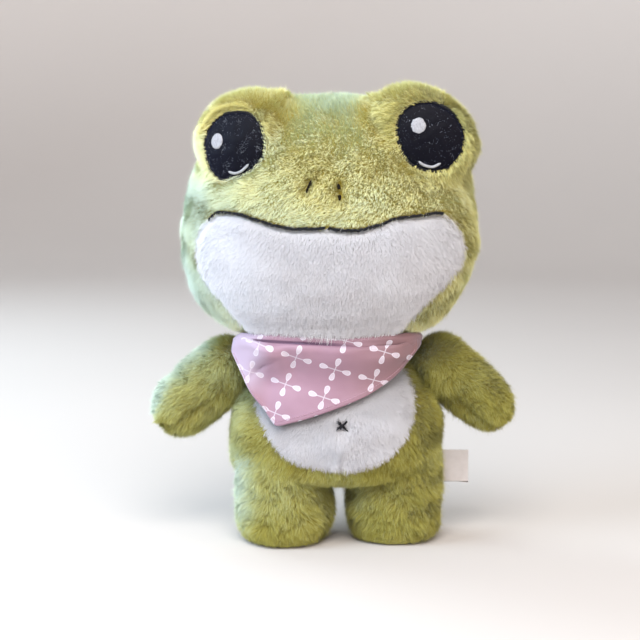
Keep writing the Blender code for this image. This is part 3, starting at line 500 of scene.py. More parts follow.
class Nodes:
    """A small helper for building material nodes."""

    def __init__(self, name, rough=0.8, sheen=0.0, sheen_tint=(1, 1, 1, 1), sheen_rough=0.5, ior_level=0.5,
                 metallic=0.0, coat=0.0):
        self.mat = bpy.data.materials.new(name)
        self.mat.use_nodes = True
        self.nt = self.mat.node_tree
        self.bsdf = self.nt.nodes["Principled BSDF"]
        self.set("Roughness", rough)
        self.set("Sheen Weight", sheen)
        self.set("Sheen Roughness", sheen_rough)
        self.set("Sheen Tint", sheen_tint)
        self.set("Specular IOR Level", ior_level)
        self.set("Metallic", metallic)
        self.set("Coat Weight", coat)

    def set(self, name, value):
        self.bsdf.inputs[name].default_value = value

    def new(self, kind, **props):
        n = self.nt.nodes.new(kind)
        for k, v in props.items():
            setattr(n, k, v)
        return n

    def link(self, a, b):
        self.nt.links.new(a, b)

    def put(self, socket, value):
        if isinstance(value, bpy.types.NodeSocket):
            self.link(value, socket)
        else:
            socket.default_value = value

    def coords(self):
        return self.new("ShaderNodeTexCoord").outputs["Object"]

    def uv(self):
        n = self.new("ShaderNodeUVMap", uv_map="OFBake")
        s = self.new("ShaderNodeSeparateXYZ")
        self.link(n.outputs["UV"], s.inputs[0])
        return n.outputs["UV"], s.outputs[0], s.outputs[1]

    def scaled(self, vec, scale):
        n = self.new("ShaderNodeMapping")
        n.inputs["Scale"].default_value = scale if hasattr(scale, "__len__") else (scale,) * 3
        self.link(vec, n.inputs["Vector"])
        return n.outputs[0]

    def noise(self, vec, scale, detail=2.0, rough=0.5, distort=0.0):
        n = self.new("ShaderNodeTexNoise")
        n.inputs["Scale"].default_value = scale
        n.inputs["Detail"].default_value = detail
        n.inputs["Roughness"].default_value = rough
        n.inputs["Distortion"].default_value = distort
        self.link(vec, n.inputs["Vector"])
        return n.outputs["Fac"]

    def math(self, op, a, b=0.0, c=None, clamp=False):
        n = self.new("ShaderNodeMath", operation=op, use_clamp=clamp)
        self.put(n.inputs[0], a)
        self.put(n.inputs[1], b)
        if c is not None:
            self.put(n.inputs[2], c)
        return n.outputs[0]

    def span(self, x, a, b, c=0.0, d=1.0, smooth_step=True):
        n = self.new("ShaderNodeMapRange", interpolation_type="SMOOTHSTEP" if smooth_step else "LINEAR")
        self.put(n.inputs["Value"], x)
        for k, v in (("From Min", a), ("From Max", b), ("To Min", c), ("To Max", d)):
            n.inputs[k].default_value = v
        return n.outputs["Result"]

    def ramp(self, x, stops):
        n = self.new("ShaderNodeValToRGB")
        e = n.color_ramp.elements
        while len(e) < len(stops):
            e.new(0.5)
        for el, (pos, col) in zip(e, stops):
            el.position, el.color = pos, col
        self.put(n.inputs[0], x)
        return n.outputs[0]

    def mix(self, f, a, b, blend="MIX"):
        n = self.new("ShaderNodeMix", data_type="RGBA", blend_type=blend)
        self.put(n.inputs["Factor"], f)
        self.put(n.inputs[6], a)
        self.put(n.inputs[7], b)
        return n.outputs[2]

    def bump(self, height, distance_mm, strength=0.6):
        n = self.new("ShaderNodeBump")
        n.inputs["Strength"].default_value = strength
        n.inputs["Distance"].default_value = distance_mm * MM
        self.link(height, n.inputs["Height"])
        self.link(n.outputs[0], self.bsdf.inputs["Normal"])

    def colour(self, value):
        self.put(self.bsdf.inputs["Base Color"], value)

    def roughness(self, value):
        self.put(self.bsdf.inputs["Roughness"], value)


def pile_material(name, roots, tips, sheen, tint, rough=0.86):
    """Fibres: u runs over the shades of the cloth, painted light and shade with some random tone, and v from root to
    tip.
    """
    m = Nodes(name, rough=rough, sheen=sheen, sheen_tint=tint, sheen_rough=0.45, ior_level=0.25)
    _, u, v = m.uv()
    root = m.ramp(u, roots)
    tip = m.ramp(u, tips)
    k = m.span(v, 0.08, 0.85)
    # where the ramps give darker, warmer roots than tips, that is painted shade deep in the pile
    m.colour(m.mix(k, root, tip))
    m.roughness(m.span(v, 0.0, 1.0, rough + 0.08, rough - 0.08))
    return m.mat


def backing_material(name, dark, light):
    """The knitted backing that the pile stands on."""
    m = Nodes(name, rough=0.95, ior_level=0.15)
    c = m.coords()
    n = m.noise(c, 900.0, 3.0, 0.6)
    big = m.noise(c, 90.0, 2.0, 0.5)
    m.colour(m.mix(m.span(m.math("ADD", m.math("MULTIPLY", n, 0.6), m.math("MULTIPLY", big, 0.4)), 0.35, 0.65),
                   dark, light))
    w = m.new("ShaderNodeTexVoronoi", feature="F1")
    w.inputs["Scale"].default_value = 1400.0
    m.link(c, w.inputs["Vector"])
    m.roughness(m.span(n, 0.3, 0.7, 0.9, 1.0))
    m.bump(w.outputs["Distance"], 0.3, 0.7)
    return m.mat


# u in these ramps is painted light and shade: low u is the warm, dark tone of the shaded side, high u the pale mint of
# the top and of the side towards the window; for the white pile low u is greyer, high u whiter and bluer
GREEN_ROOTS = [(0.0, srgb(136, 120, 50)), (0.2, srgb(170, 154, 74)), (0.4, srgb(214, 196, 98)),
               (0.6, srgb(236, 228, 152)), (0.8, srgb(222, 226, 184)), (1.0, srgb(210, 220, 198))]
GREEN_TIPS = [(0.0, srgb(156, 152, 88)), (0.2, srgb(192, 192, 128)), (0.4, srgb(232, 226, 152)),
              (0.6, srgb(246, 249, 208)), (0.8, srgb(222, 233, 210)), (1.0, srgb(206, 221, 211))]
# the body's pile goes straight from olive to the pale side, which is painted light; it is darker than the head's pile,
# partly as painted shade
BODY_ROOTS = [(0.0, srgb(148, 132, 46)), (0.2, srgb(170, 156, 66)), (0.55, srgb(184, 186, 128)),
              (1.0, srgb(200, 212, 190))]
BODY_TIPS = [(0.0, srgb(164, 156, 68)), (0.2, srgb(191, 189, 112)), (0.55, srgb(204, 212, 166)),
             (1.0, srgb(206, 222, 210))]
WHITE_ROOTS = [(0.0, srgb(212, 210, 214)), (1.0, srgb(240, 241, 246))]
WHITE_TIPS = [(0.0, srgb(213, 211, 215)), (1.0, srgb(241, 242, 247))]
green_pile = pile_material("green_pile", GREEN_ROOTS, GREEN_TIPS, 0.35, srgb(232, 252, 240))
body_pile = pile_material("body_pile", BODY_ROOTS, BODY_TIPS, 0.35, srgb(232, 252, 240))
white_pile = pile_material("white_pile", WHITE_ROOTS, WHITE_TIPS, 0.15, srgb(246, 248, 255))
# the green backing is a darker olive than the pile's tips: painted shade, so the gaps between the fibres look deep
green_backing = backing_material("green_backing", srgb(168, 150, 66), srgb(200, 184, 100))
white_backing = backing_material("white_backing", srgb(226, 222, 225), srgb(236, 233, 236))


def stuffing_material():
    m = Nodes("fibre_filling", rough=0.95, ior_level=0.2)
    c = m.coords()
    n = m.noise(m.scaled(c, (1.0, 1.0, 1.0)), 420.0, 6.0, 0.65, 1.5)
    m.colour(m.ramp(m.span(n, 0.3, 0.7), [(0.0, srgb(206, 206, 204)), (1.0, srgb(244, 244, 242))]))
    m.roughness(m.span(n, 0.3, 0.7, 0.88, 1.0))
    m.bump(n, 1.2, 0.8)
    return m.mat


def thread_material(name, dark, light, rough, pitch=0.35, axis_scale=(1.0, 1.0, 1.0), sheen=0.2):
    m = Nodes(name, rough=rough, sheen=sheen, ior_level=0.25)
    c = m.coords()
    n = m.noise(m.scaled(c, axis_scale), 1.0 / (pitch * MM), 2.0, 0.55)
    m.colour(m.mix(m.span(n, 0.3, 0.7), dark, light))
    m.roughness(m.span(n, 0.3, 0.7, min(rough + 0.1, 1.0), rough - 0.1))
    m.bump(n, 0.15, 0.6)
    return m.mat


def eye_material():
    """Black cloth with a fine slubbed weave."""
    m = Nodes("eye_cloth", rough=0.5, sheen=0.13, sheen_tint=srgb(60, 90, 230), ior_level=0.10)
    c = m.coords()
    turned = m.new("ShaderNodeMapping")
    turned.inputs["Rotation"].default_value = (0.0, math.radians(24.0), 0.0)
    turned.inputs["Scale"].default_value = (2.6, 1.6, 1.0)
    m.link(c, turned.inputs["Vector"])
    slub = m.noise(turned.outputs[0], 1300.0, 3.0, 0.6)
    fine = m.noise(c, 2600.0, 2.0, 0.6)
    mixed = m.math("ADD", m.math("MULTIPLY", slub, 0.65), m.math("MULTIPLY", fine, 0.35))
    m.colour(m.ramp(mixed, [(0.35, srgb(3, 3, 6)), (0.56, srgb(6, 6, 12)), (0.68, srgb(16, 18, 30)),
                            (0.80, srgb(60, 66, 92))]))
    m.roughness(m.span(mixed, 0.35, 0.7, 0.62, 0.34))
    m.bump(mixed, 0.25, 0.8)
    return m.mat


def glitter_material():
    m = Nodes("eye_glitter_thread", rough=0.28, ior_level=0.7)
    c = m.coords()
    n = m.noise(c, 1500.0, 2.0, 0.5)
    m.colour(m.ramp(n, [(0.3, srgb(140, 148, 180)), (0.7, srgb(232, 238, 252))]))
    m.roughness(m.span(n, 0.3, 0.7, 0.38, 0.2))
    m.bump(n, 0.06, 0.5)
    return m.mat


def scarf_material():
    """Pink cotton with rows of small four-petalled crosses, thin stems between them."""
    m = Nodes("pink_print_cotton", rough=0.55, sheen=0.45, sheen_tint=srgb(222, 224, 255), sheen_rough=0.4,
              ior_level=0.5)
    uv, u, v = m.uv()
    # flat cloth in millimetres
    a_mm = m.math("MULTIPLY_ADD", u, 140.0, -70.0)
    z_mm = m.math("MULTIPLY_ADD", v, 140.0, 0.0)
    da = m.math("SUBTRACT", a_mm, -20.19)
    dz = m.math("SUBTRACT", z_mm, 105.84)
    det = 20.496 * -15.316 - -5.769 * -6.270
    i = m.math("ADD", m.math("MULTIPLY", da, -15.316 / det), m.math("MULTIPLY", dz, 5.769 / det))
    j = m.math("ADD", m.math("MULTIPLY", dz, 20.496 / det), m.math("MULTIPLY", da, 6.270 / det))

    def local(x, length):
        f = m.math("FRACT", m.math("ADD", x, 100.5))
        return m.math("MULTIPLY", m.math("SUBTRACT", f, 0.5), length)

    p, q = local(i, 21.43), local(j, 16.37)
    ap, aq = m.math("ABSOLUTE", p), m.math("ABSOLUTE", q)

    def square(x, k):
        y = m.math("MULTIPLY", x, 1.0 / k)
        return m.math("MULTIPLY", y, y)

    # petals are drops, narrower towards the middle of the cross
    w1 = m.math("MULTIPLY", aq, m.span(ap, 7.6, 4.2, 1.0, 1.55, False))
    w2 = m.math("MULTIPLY", ap, m.span(aq, 5.7, 2.4, 1.0, 1.55, False))
    e1 = m.math("ADD", square(m.math("SUBTRACT", ap, 6.2), 2.25), square(w1, 1.62))
    e2 = m.math("ADD", square(m.math("SUBTRACT", aq, 4.3), 2.25), square(w2, 1.62))
    petal = m.span(m.math("MINIMUM", e1, e2), 1.22, 0.90)
    s1 = m.math("MULTIPLY", m.span(aq, 0.40, 0.14), m.span(ap, 6.4, 5.8))
    s2 = m.math("MULTIPLY", m.span(ap, 0.40, 0.14), m.span(aq, 4.6, 4.0))
    stem = m.math("MULTIPLY", m.math("MAXIMUM", s1, s2), 0.66)
    # a faint line drawn inside each petal
    vein = m.math("MULTIPLY", m.math("MULTIPLY", m.span(m.math("MINIMUM", e1, e2), 0.62, 0.50),
                                     m.span(m.math("MINIMUM", e1, e2), 0.26, 0.40)), 0.22)
    ink = m.math("SUBTRACT", m.math("MAXIMUM", petal, stem), vein)
    # plain weave and slow changes of shade
    fine = m.new("ShaderNodeTexWave", wave_type="BANDS", bands_direction="X")
    fine.inputs["Scale"].default_value = 120.0
    fine.inputs["Distortion"].default_value = 0.6
    fine.inputs["Detail"].default_value = 1.0
    m.link(uv, fine.inputs["Vector"])
    fine2 = m.new("ShaderNodeTexWave", wave_type="BANDS", bands_direction="Y")
    fine2.inputs["Scale"].default_value = 120.0
    fine2.inputs["Distortion"].default_value = 0.6
    fine2.inputs["Detail"].default_value = 1.0
    m.link(uv, fine2.inputs["Vector"])
    weave = m.math("MULTIPLY", m.math("ADD", fine.outputs["Fac"], fine2.outputs["Fac"]), 0.5)
    slow = m.noise(uv, 5.0, 3.0, 0.55)
    ground = m.mix(m.span(slow, 0.3, 0.7), srgb(150, 114, 132), srgb(160, 125, 143))
    # painted shade: the cloth is darker and browner towards the frog's left, away from the window
    ground = m.mix(m.math("MULTIPLY", m.span(a_mm, -10.0, 45.0, 0.0, 0.9), m.span(a_mm, 105.0, 62.0)), ground, srgb(120, 84, 82))
    # painted shadow: a dark line where the bib turns in under the chin, fading to the frog's left
    painted_crease_shadow = m.math("ABSOLUTE", m.math("SUBTRACT", z_mm, m.math("MULTIPLY_ADD", a_mm, -0.035, 112.6)))
    painted_crease_shadow = m.math("MULTIPLY", m.span(painted_crease_shadow, 1.35, 0.45), m.math("MULTIPLY", m.span(a_mm, 16.0, -8.0),
                                                                  m.span(a_mm, -47.0, -40.0)))
    # painted highlight: the turned corner on the frog's right is paler and lilac, as if lit by the window
    painted_corner_highlight = m.math("MULTIPLY", m.span(m.math("ADD", a_mm, m.math("MULTIPLY", slow, 8.0)), -28.0, -42.0),
                  m.math("MULTIPLY", m.span(z_mm, 80.0, 96.0), m.span(a_mm, -105.0, -66.0)))
    ground = m.mix(m.math("MULTIPLY", painted_corner_highlight, 0.55), ground, srgb(198, 190, 216))
    ground = m.mix(m.math("MULTIPLY", weave, 0.14), ground, srgb(204, 176, 190))
    printed = m.mix(ink, ground, m.mix(m.span(m.math("MINIMUM", e1, e2), 0.25, 0.75), srgb(202, 189, 201),
                                       srgb(212, 204, 216)))
    m.colour(m.mix(m.math("MULTIPLY", painted_crease_shadow, 0.9), printed, srgb(84, 56, 82)))
    m.roughness(m.span(weave, 0.2, 0.9, 0.60, 0.42))
    m.bump(m.math("ADD", m.math("MULTIPLY", weave, 0.7), m.math("MULTIPLY", ink, 0.5)), 0.12, 0.6)
    return m.mat


def label_material():
    m = Nodes("label_satin", rough=0.42, sheen=0.3, ior_level=0.5)
    c = m.coords()
    w = m.new("ShaderNodeTexWave", wave_type="BANDS", bands_direction="Z")
    w.inputs["Scale"].default_value = 900.0
    w.inputs["Distortion"].default_value = 0.8
    m.link(c, w.inputs["Vector"])
    n = m.noise(c, 300.0, 3.0, 0.5)
    k = m.math("ADD", m.math("MULTIPLY", w.outputs["Fac"], 0.5), m.math("MULTIPLY", n, 0.5))
    m.colour(m.mix(m.span(k, 0.25, 0.75), srgb(186, 180, 180), srgb(208, 202, 202)))
    m.roughness(m.span(k, 0.25, 0.75, 0.5, 0.34))
    m.bump(k, 0.1, 0.5)
    return m.mat


def sole_material():
    m = Nodes("sole_cloth", rough=0.9, sheen=0.3, sheen_tint=srgb(222, 240, 214), ior_level=0.2)
    c = m.coords()
    n = m.noise(c, 1300.0, 4.0, 0.65)
    big = m.noise(c, 120.0, 2.0, 0.5)
    k = m.math("ADD", m.math("MULTIPLY", n, 0.6), m.math("MULTIPLY", big, 0.4))
    m.colour(m.mix(m.span(k, 0.35, 0.65), srgb(132, 128, 58), srgb(190, 186, 112)))
    m.roughness(m.span(n, 0.3, 0.7, 0.8, 1.0))
    m.bump(n, 0.5, 0.8)
    return m.mat


stuffing = stuffing_material()
black_thread = thread_material("black_thread", srgb(6, 6, 9), srgb(28, 29, 38), 0.7, sheen=0.05)
hole_thread = thread_material("nostril_thread", srgb(12, 8, 3), srgb(34, 26, 12), 0.9, sheen=0.0)
white_thread = thread_material("white_thread", srgb(138, 138, 145), srgb(176, 177, 184), 0.5, 0.3,
                               (1.0, 1.0, 0.25))
rim_thread = thread_material("eye_rim_thread", srgb(4, 4, 6), srgb(16, 16, 22), 0.7)
hem_thread = thread_material("hem_thread", srgb(176, 136, 154), srgb(196, 158, 174), 0.6)
eye_cloth = eye_material()
glitter = glitter_material()
scarf_cloth = scarf_material()
satin = label_material()
sole_cloth = sole_material()


# ------------------------------------------------------------------- the eyes
def eye_axes(side):
    c, turn, tilt, _, _ = EYES[side]
    m = rot("Z", math.radians(turn)) @ rot("X", math.radians(-tilt))
    return np.array(c), m @ (1, 0, 0), m @ (0, 0, 1), m @ (0, -1, 0)


def eye_local(side, p):
    """Across, up and outward coordinates of points in the head's frame."""
    c, u, v, n = eye_axes(side)
    q = p - c
    s, t = q @ u, q @ v
    return s, t, q @ n + (s * s + t * t) / (2 * EYE_BULGE_R)


def eye_at(side, s, t, h):
    c, u, v, n = eye_axes(side)
    s, t = np.asarray(s, float), np.asarray(t, float)
    h = h - (s * s + t * t) / (2 * EYE_BULGE_R)
    return c + s[..., None] * u + t[..., None] * v + h[..., None] * n


def eye_edge(side, ang):
    r = np.array(EYE_EDGE[side] + EYE_EDGE[side][:1])
    q = np.linspace(-math.pi, math.pi, 25)
    ang = (np.asarray(ang) + math.pi) % (2 * math.pi) - math.pi
    # cubic through the table, periodic
    i = np.clip(((ang + math.pi) / (2 * math.pi) * 24).astype(int), 0, 23)
    f = (ang - q[i]) / (2 * math.pi / 24)
    a, b, c, d = r[(i - 1) % 24], r[i], r[(i + 1) % 24], r[(i + 2) % 24]
    return 0.5 * (2 * b + (c - a) * f + (2 * a - 5 * b + 4 * c - d) * f**2 + (3 * b - a - 3 * c + d) * f**3)


def eye_ratio(side, s, t):
    """Below 1 inside the eye's outline; also the distance outside it, about."""
    r = np.hypot(s, t)
    e = eye_edge(side, np.arctan2(t, s))
    return r / e, r - e


# ------------------------------------------------------------------ the skins
class Skin:
    """Backing cloth of a fur panel set, with its normals."""

    def __init__(self, env, faces, depth):
        self.env, self.f = env, faces
        self.n = vertex_normals(env, faces)
        for _ in range(2):
            self.n = unit(self.n + neighbours_mean(self.n, faces))
        self.v = env - self.n * depth(env)[:, None]


def gauss(d, s):
    return np.exp(-((d / s) ** 2))


lump = Waves(3, 30.0, 70.0)
small_lump = Waves(4, 11.0, 24.0)
HEAD_PILE, BODY_PILE, LIMB_PILE, LEG_PILE = 3.5, 3.7, 3.9, 4.4


def head_marks(p):
    """Distances in the head's frame to its seams and features."""
    q = p[:, [0, 2]]
    front = p[:, 1] < -8
    dm, im = near_outline(q, MUZZLE)
    dm, im = np.where(front, dm, 99.0), im & (p[:, 1] < -15)
    nost = {}
    for s in NOSTRILS:
        d, _ = near_outline(q, NOSTRILS[s], closed=False)
        nost[s] = np.where(front, d, 99.0)
    return dm, im, nost


def head_depth(p):
    dm, im, nost = head_marks(p)
    calm = 1 - 0.65 * (im & (dm > 1.0))
    d = HEAD_PILE - calm * (0.5 * lump(p) + 0.25 * small_lump(p))
    d = d + 1.2 * gauss(dm, 2.2)
    d = d + 1.3 * gauss(p[:, 1] - HEAD_SEAM_Y, 2.2)
    d = d + np.where(p[:, 1] > 8, 1.3 * gauss(p[:, 0], 2.2), 0.0)
    for s in nost:
        d = d + 1.7 * gauss(nost[s], 3.4)
    # the fold between each eye lobe and the forehead
    loft = distance(HEAD_LOFT, p)
    for side in BUMPS:
        gap = np.abs(loft - distance(lobe(side), p))
        d = d + 1.6 * gauss(gap, 2.2) * smooth(214, 226, p[:, 2])
    return d


def head_skin():
    shapes, soft = [HEAD_LOFT], []
    for side in ("right", "left"):
        shapes.append(lobe(side))
        soft.append(7.0)
    env, f = envelope(shapes, soft, (-1.0, -2.0, 182.0), 7)
    n0 = vertex_normals(env, f)
    for side in ("right", "left"):
        # the pile comes down to the edge of the eye from a soft roll round it
        c, u, v, n = eye_axes(side)
        s, t, h = eye_local(side, env)
        _, out = eye_ratio(side, s, t)
        near = smooth(0.12, 0.6, n0 @ n) * ((h > -14) & (h < 14))
        rise = np.clip(1.9 - np.abs(out - 4.5) * 0.12 - h, 0.0, 1.8 + 7.0 * (1 - smooth(0.0, 3.5, out)))
        roll = h + rise * (1 - smooth(4.0, 11.0, out))
        w = 1 - smooth(-0.5, 3.8, out)
        new = roll + (1.0 - roll) * w
        env = env + (near * np.where(out < 11.5, new - h, 0.0))[:, None] * n
    skin = Skin(env, f, head_depth)
    for side in ("right", "left"):
        # the cloth comes up to the back of the eye
        s, t, h = eye_local(side, skin.v)
        k, out = eye_ratio(side, s, t)
        front = skin.n @ eye_axes(side)[3] > 0.1
        w = np.where(front & (h > -14) & (h < 12), 1 - smooth(-1.0, 0.8, out), 0.0)
        c, u, v, n = eye_axes(side)
        skin.v += (w * (-1.5 - h))[:, None] * n
    return skin


def torso_depth(p):
    q = p[:, [0, 2]]
    db, _ = near_outline(q, BELLY)
    db = np.where(p[:, 1] < -8, db, 99.0)
    d = BODY_PILE - 0.5 * lump(p + 31.0) - 0.3 * small_lump(p)
    d = d + 1.3 * gauss(db, 2.4)
    d = d + 1.2 * gauss(p[:, 1] - TORSO_SEAM_Y, 2.2)
    d = d + np.where(p[:, 1] > 6, 1.2 * gauss(p[:, 0] - TORSO_X, 2.2), 0.0)
    # the small dart under the navel
    dart, _ = near_outline(q, ((3.2, 57.0), (3.0, 50.0), (3.8, 42.0)), closed=False)
    d = d + np.where(p[:, 1] < -8, 1.0 * gauss(dart, 1.6) * smooth(58, 46, p[:, 2]), 0.0)
    nav = np.hypot(p[:, 0] - NAVEL[0], p[:, 2] - NAVEL[1])
    return d + np.where(p[:, 1] < -8, 1.2 * gauss(nav, 4.5), 0.0)


def arm_seam(side, p):
    """Distance to the seam along the arm, and how far along it a point is."""
    arm = Arm(side)
    s, u, v = arm.local(p)
    ang = np.arctan2(-v, u)        # 0 on top, 90 degrees towards the front
    at = math.radians(112.0 if side == "right" else 128.0)
    r = np.hypot(u, v)
    return np.abs((ang - at + math.pi) % (2 * math.pi) - math.pi) * r, s


def arm_depth(side):
    def depth(p):
        d = LIMB_PILE - 0.4 * lump(p + 57.0) - 0.3 * small_lump(p)
        a, s = arm_seam(side, p)
        k = 2.6 if side == "right" else 1.6
        d = d + k * gauss(a, 3.0) * smooth(8, 22, s)
        # the end is drawn together
        arm = Arm(side)
        return d + 1.8 * gauss(np.abs(s - arm.end), 5.0) + 0.5 * np.sin(7 * np.arctan2(arm.local(p)[2], arm.local(p)[1])) * smooth(arm.end - 16, arm.end - 5, s)
    return depth


def leg_depth(side):
    c = LEGS[side]

    def depth(p):
        d = LEG_PILE - 0.5 * lump(p + 91.0) - 0.4 * small_lump(p + 13.0)
        inner = 1.0 if side == "right" else -1.0
        d = d + 1.2 * gauss(p[:, 1] - c[1], 2.4) * (np.sign(p[:, 0] - c[0]) == inner) * (p[:, 2] < 34)
        return d * smooth(-2.0, 7.0, p[:, 2]) + 1.2 * (1 - smooth(-2.0, 7.0, p[:, 2]))
    return depth


SK = {"head": head_skin()}
env, f = envelope([Loft(TORSO, [(28.5, TORSO_X), (107.5, TORSO_X)])], [], (TORSO_X, 0.0, 66.0), 7)
SK["torso"] = Skin(env, f, torso_depth)
for side in ("right", "left"):
    arm = Arm(side)
    env, f = envelope([arm], [], arm.c + arm.d * 12.0, 6)
    SK["arm_" + side] = Skin(env, f, arm_depth(side))
    leg = Leg(side)
    env, f = envelope([leg], [], (leg.c[0], leg.c[1], 28.0), 6)
    SK["leg_" + side] = Skin(env, f, leg_depth(side))
env, f = envelope([Ellipsoid(NECK, (NECK_R,) * 3)], [], NECK, 5)
SK["neck"] = Skin(env, f, lambda p: np.full(len(p), 3.5))


def cloth_piece(name, skin, keep, material, thick=0.8, world=lambda p: p):
    """Part of a skin as cloth with thickness."""
    centre = skin.env[skin.f].mean(1)
    f = skin.f[keep(centre)]
    used = np.unique(f)
    index = np.full(len(skin.v), -1, np.int32)
    index[used] = np.arange(len(used))
    top = skin.v[used]
    low = top - skin.n[used] * thick
    g = index[f]
    n = len(used)
    # the cut edge
    e = np.concatenate([g[:, [0, 1]], g[:, [1, 2]], g[:, [2, 0]]])
    key = e[:, 0].astype(np.int64) * n + e[:, 1]
    back = e[:, 1].astype(np.int64) * n + e[:, 0]
    rim = e[~np.isin(key, back)]
    quads = np.stack([rim[:, 1], rim[:, 0], rim[:, 0] + n, rim[:, 1] + n], 1) if len(rim) else None
    tris = np.concatenate([g, g[:, ::-1] + n])
    return mesh_object(name, world(np.concatenate([top, low])), quads, tris, material)


# --------------------------------------------------------------------- the pile
ragged_a, ragged_b = Waves(61, 1.5, 4.5), Waves(62, 1.5, 4.5)


def ragged(p, k=0.75):
    """Points moved about a little, for the tufted border between two colours."""
    return p + np.stack([k * ragged_a(p), np.zeros(len(p)), k * ragged_b(p)], 1)


STRANDS_IN_PIECE = 60000
strand_count = [0]


def sample(skin, keep, density, seed):
    """Seeded points on a skin, about density for each square millimetre."""
    v, f = skin.v, skin.f
    e = skin.env
    area = np.linalg.norm(np.cross(e[f[:, 1]] - e[f[:, 0]], e[f[:, 2]] - e[f[:, 0]]), axis=1) / 2
    ok = keep(e[f].mean(1))
    area = area * ok
    total = float((area * density).sum())
    n = int(total)
    rng = np.random.default_rng(seed)
    cum = np.cumsum(area * density)
    pick = np.searchsorted(cum, (np.arange(n) + rng.random(n)) * (cum[-1] / n))
    pick = np.clip(pick, 0, len(f) - 1)
    a, b = rng.random(n), rng.random(n)
    flip = a + b > 1
    a[flip], b[flip] = 1 - a[flip], 1 - b[flip]
    c = 1 - a - b
    t = f[pick]
    p = v[t[:, 0]] * a[:, None] + v[t[:, 1]] * b[:, None] + v[t[:, 2]] * c[:, None]
    nr = unit(skin.n[t[:, 0]] * a[:, None] + skin.n[t[:, 1]] * b[:, None] + skin.n[t[:, 2]] * c[:, None])
    return p, nr, rng


def only(data, ok):
    return tuple(x[ok] for x in data)


def strands(p, nr, rng, comb, height, lean, width, shade, clump=0.42, cell=1.05, swirl=15.0, wander=12.0,
            swirl_scale=(9.0, 26.0), tuft=12.0, tuft_scale=(1.4, 4.0), loose=6.0, tuft_lean=6.0, uneven=0.11,
            twist=34.0, mottle=0.12, guard=0.08, seed=0):
    """Fibre points (root, middle, tip), their width directions and shades."""
    n = len(p)
    g = comb(p)
    t = unit(g - (g * nr).sum(1)[:, None] * nr)
    b = np.cross(nr, t)
    ang = (np.radians(swirl) * Waves(seed + 11, *swirl_scale)(p) + np.radians(tuft) * Waves(seed + 14, *tuft_scale)(p)
           + np.radians(wander) * rng.normal(size=n))
    t2 = t * np.cos(ang)[:, None] + b * np.sin(ang)[:, None]
    le = np.radians(np.clip(lean + tuft_lean * (0.6 * Waves(seed + 12, 6.0, 18.0)(p) + Waves(seed + 15, *tuft_scale)(p))
                            + loose * rng.normal(size=n), 3, 76))
    hi = height * np.clip(1 + uneven * (0.4 * Waves(seed + 13, 5.0, 14.0)(p) + 0.6 * Waves(seed + 16, *tuft_scale)(p)
                                        + 1.1 * rng.normal(size=n)), 0.4, 1.45)
    # a few longer, thinner and straighter hairs
    lone = rng.random(n) < guard
    hi = np.where(lone, hi * 1.42, hi)
    le = np.where(lone, le * 0.72, le)
    a0, a1 = le * 0.5, le * 1.25
    c0, c1 = np.cos(a0), np.cos(np.minimum(a1, 1.45))
    length = hi / (0.5 * c0 + 0.5 * c1)
    mid = p + length[:, None] * 0.5 * (c0[:, None] * nr + np.sin(a0)[:, None] * t2)
    tip = mid + length[:, None] * 0.5 * (c1[:, None] * nr + np.sin(np.minimum(a1, 1.45))[:, None] * t2)
    # neighbours lean together into small tufts
    jit = np.stack([Waves(seed + 21 + k, 2.0, 6.0, 8)(p) for k in range(3)], 1) * 0.5
    q = np.floor((p + jit) / cell).astype(np.int64)
    q -= q.min(0)
    key = (q[:, 0] * 4096 + q[:, 1]) * 4096 + q[:, 2]
    _, inv = np.unique(key, return_inverse=True)
    cnt = np.bincount(inv).astype(float)
    mean = np.stack([np.bincount(inv, tip[:, k]) / cnt for k in range(3)], 1)[inv]
    own = (clump * rng.uniform(0.3, 1.3, n) * ~lone)[:, None]
    tip = tip + (mean - tip) * own
    d = unit(tip - p)
    side = unit(np.cross(d, nr) + 1e-6)
    up = np.cross(side, d)
    tw = np.radians(rng.uniform(-twist, twist, n))
    w = side * np.cos(tw)[:, None] + up * np.sin(tw)[:, None]
    wide = width * rng.uniform(0.75, 1.25, n) * np.where(lone, 0.55, 1.0)
    u = np.clip(shade(p) + mottle * rng.normal(size=n), 0.02, 0.98)
    return p - nr * 0.3, mid, tip, w, wide, u


def pile_objects(name, data, material, world=lambda x: x):
    root, mid, tip, w, wide, u = data
    n = len(root)
    pieces = max(1, math.ceil(n / STRANDS_IN_PIECE))
    out = []
    for k in range(pieces):
        sl = slice(k, n, pieces) if pieces > 1 else slice(0, n)
        r, m, t, ww, wd, uu = root[sl], mid[sl], tip[sl], w[sl], wide[sl], u[sl]
        c = len(r)
        v = np.empty((c, 5, 3))
        v[:, 0], v[:, 1] = r - ww * (wd / 2)[:, None], r + ww * (wd / 2)[:, None]
        v[:, 2], v[:, 3] = m - ww * (wd * 0.42)[:, None], m + ww * (wd * 0.42)[:, None]
        v[:, 4] = t
        uv = np.empty((c, 5, 2))
        e = 0.0015
        uv[:, 0] = np.stack([uu - e, np.full(c, 0.01)], 1)
        uv[:, 1] = np.stack([uu + e, np.full(c, 0.01)], 1)
        uv[:, 2] = np.stack([uu - e, np.full(c, 0.5)], 1)
        uv[:, 3] = np.stack([uu + e, np.full(c, 0.5)], 1)
        uv[:, 4] = np.stack([uu, np.full(c, 0.99)], 1)
        base = (np.arange(c, dtype=np.int32) * 5)[:, None]
        quads = base + np.array([0, 1, 3, 2], np.int32)
        tris = base + np.array([2, 3, 4], np.int32)
        ob = mesh_object(name if pieces == 1 else "%s_%d" % (name, k + 1), world(v.reshape(-1, 3)), quads, tris,
                         material, uv=uv.reshape(-1, 2))
        strand_count[0] += c
        out.append(ob)
    return out


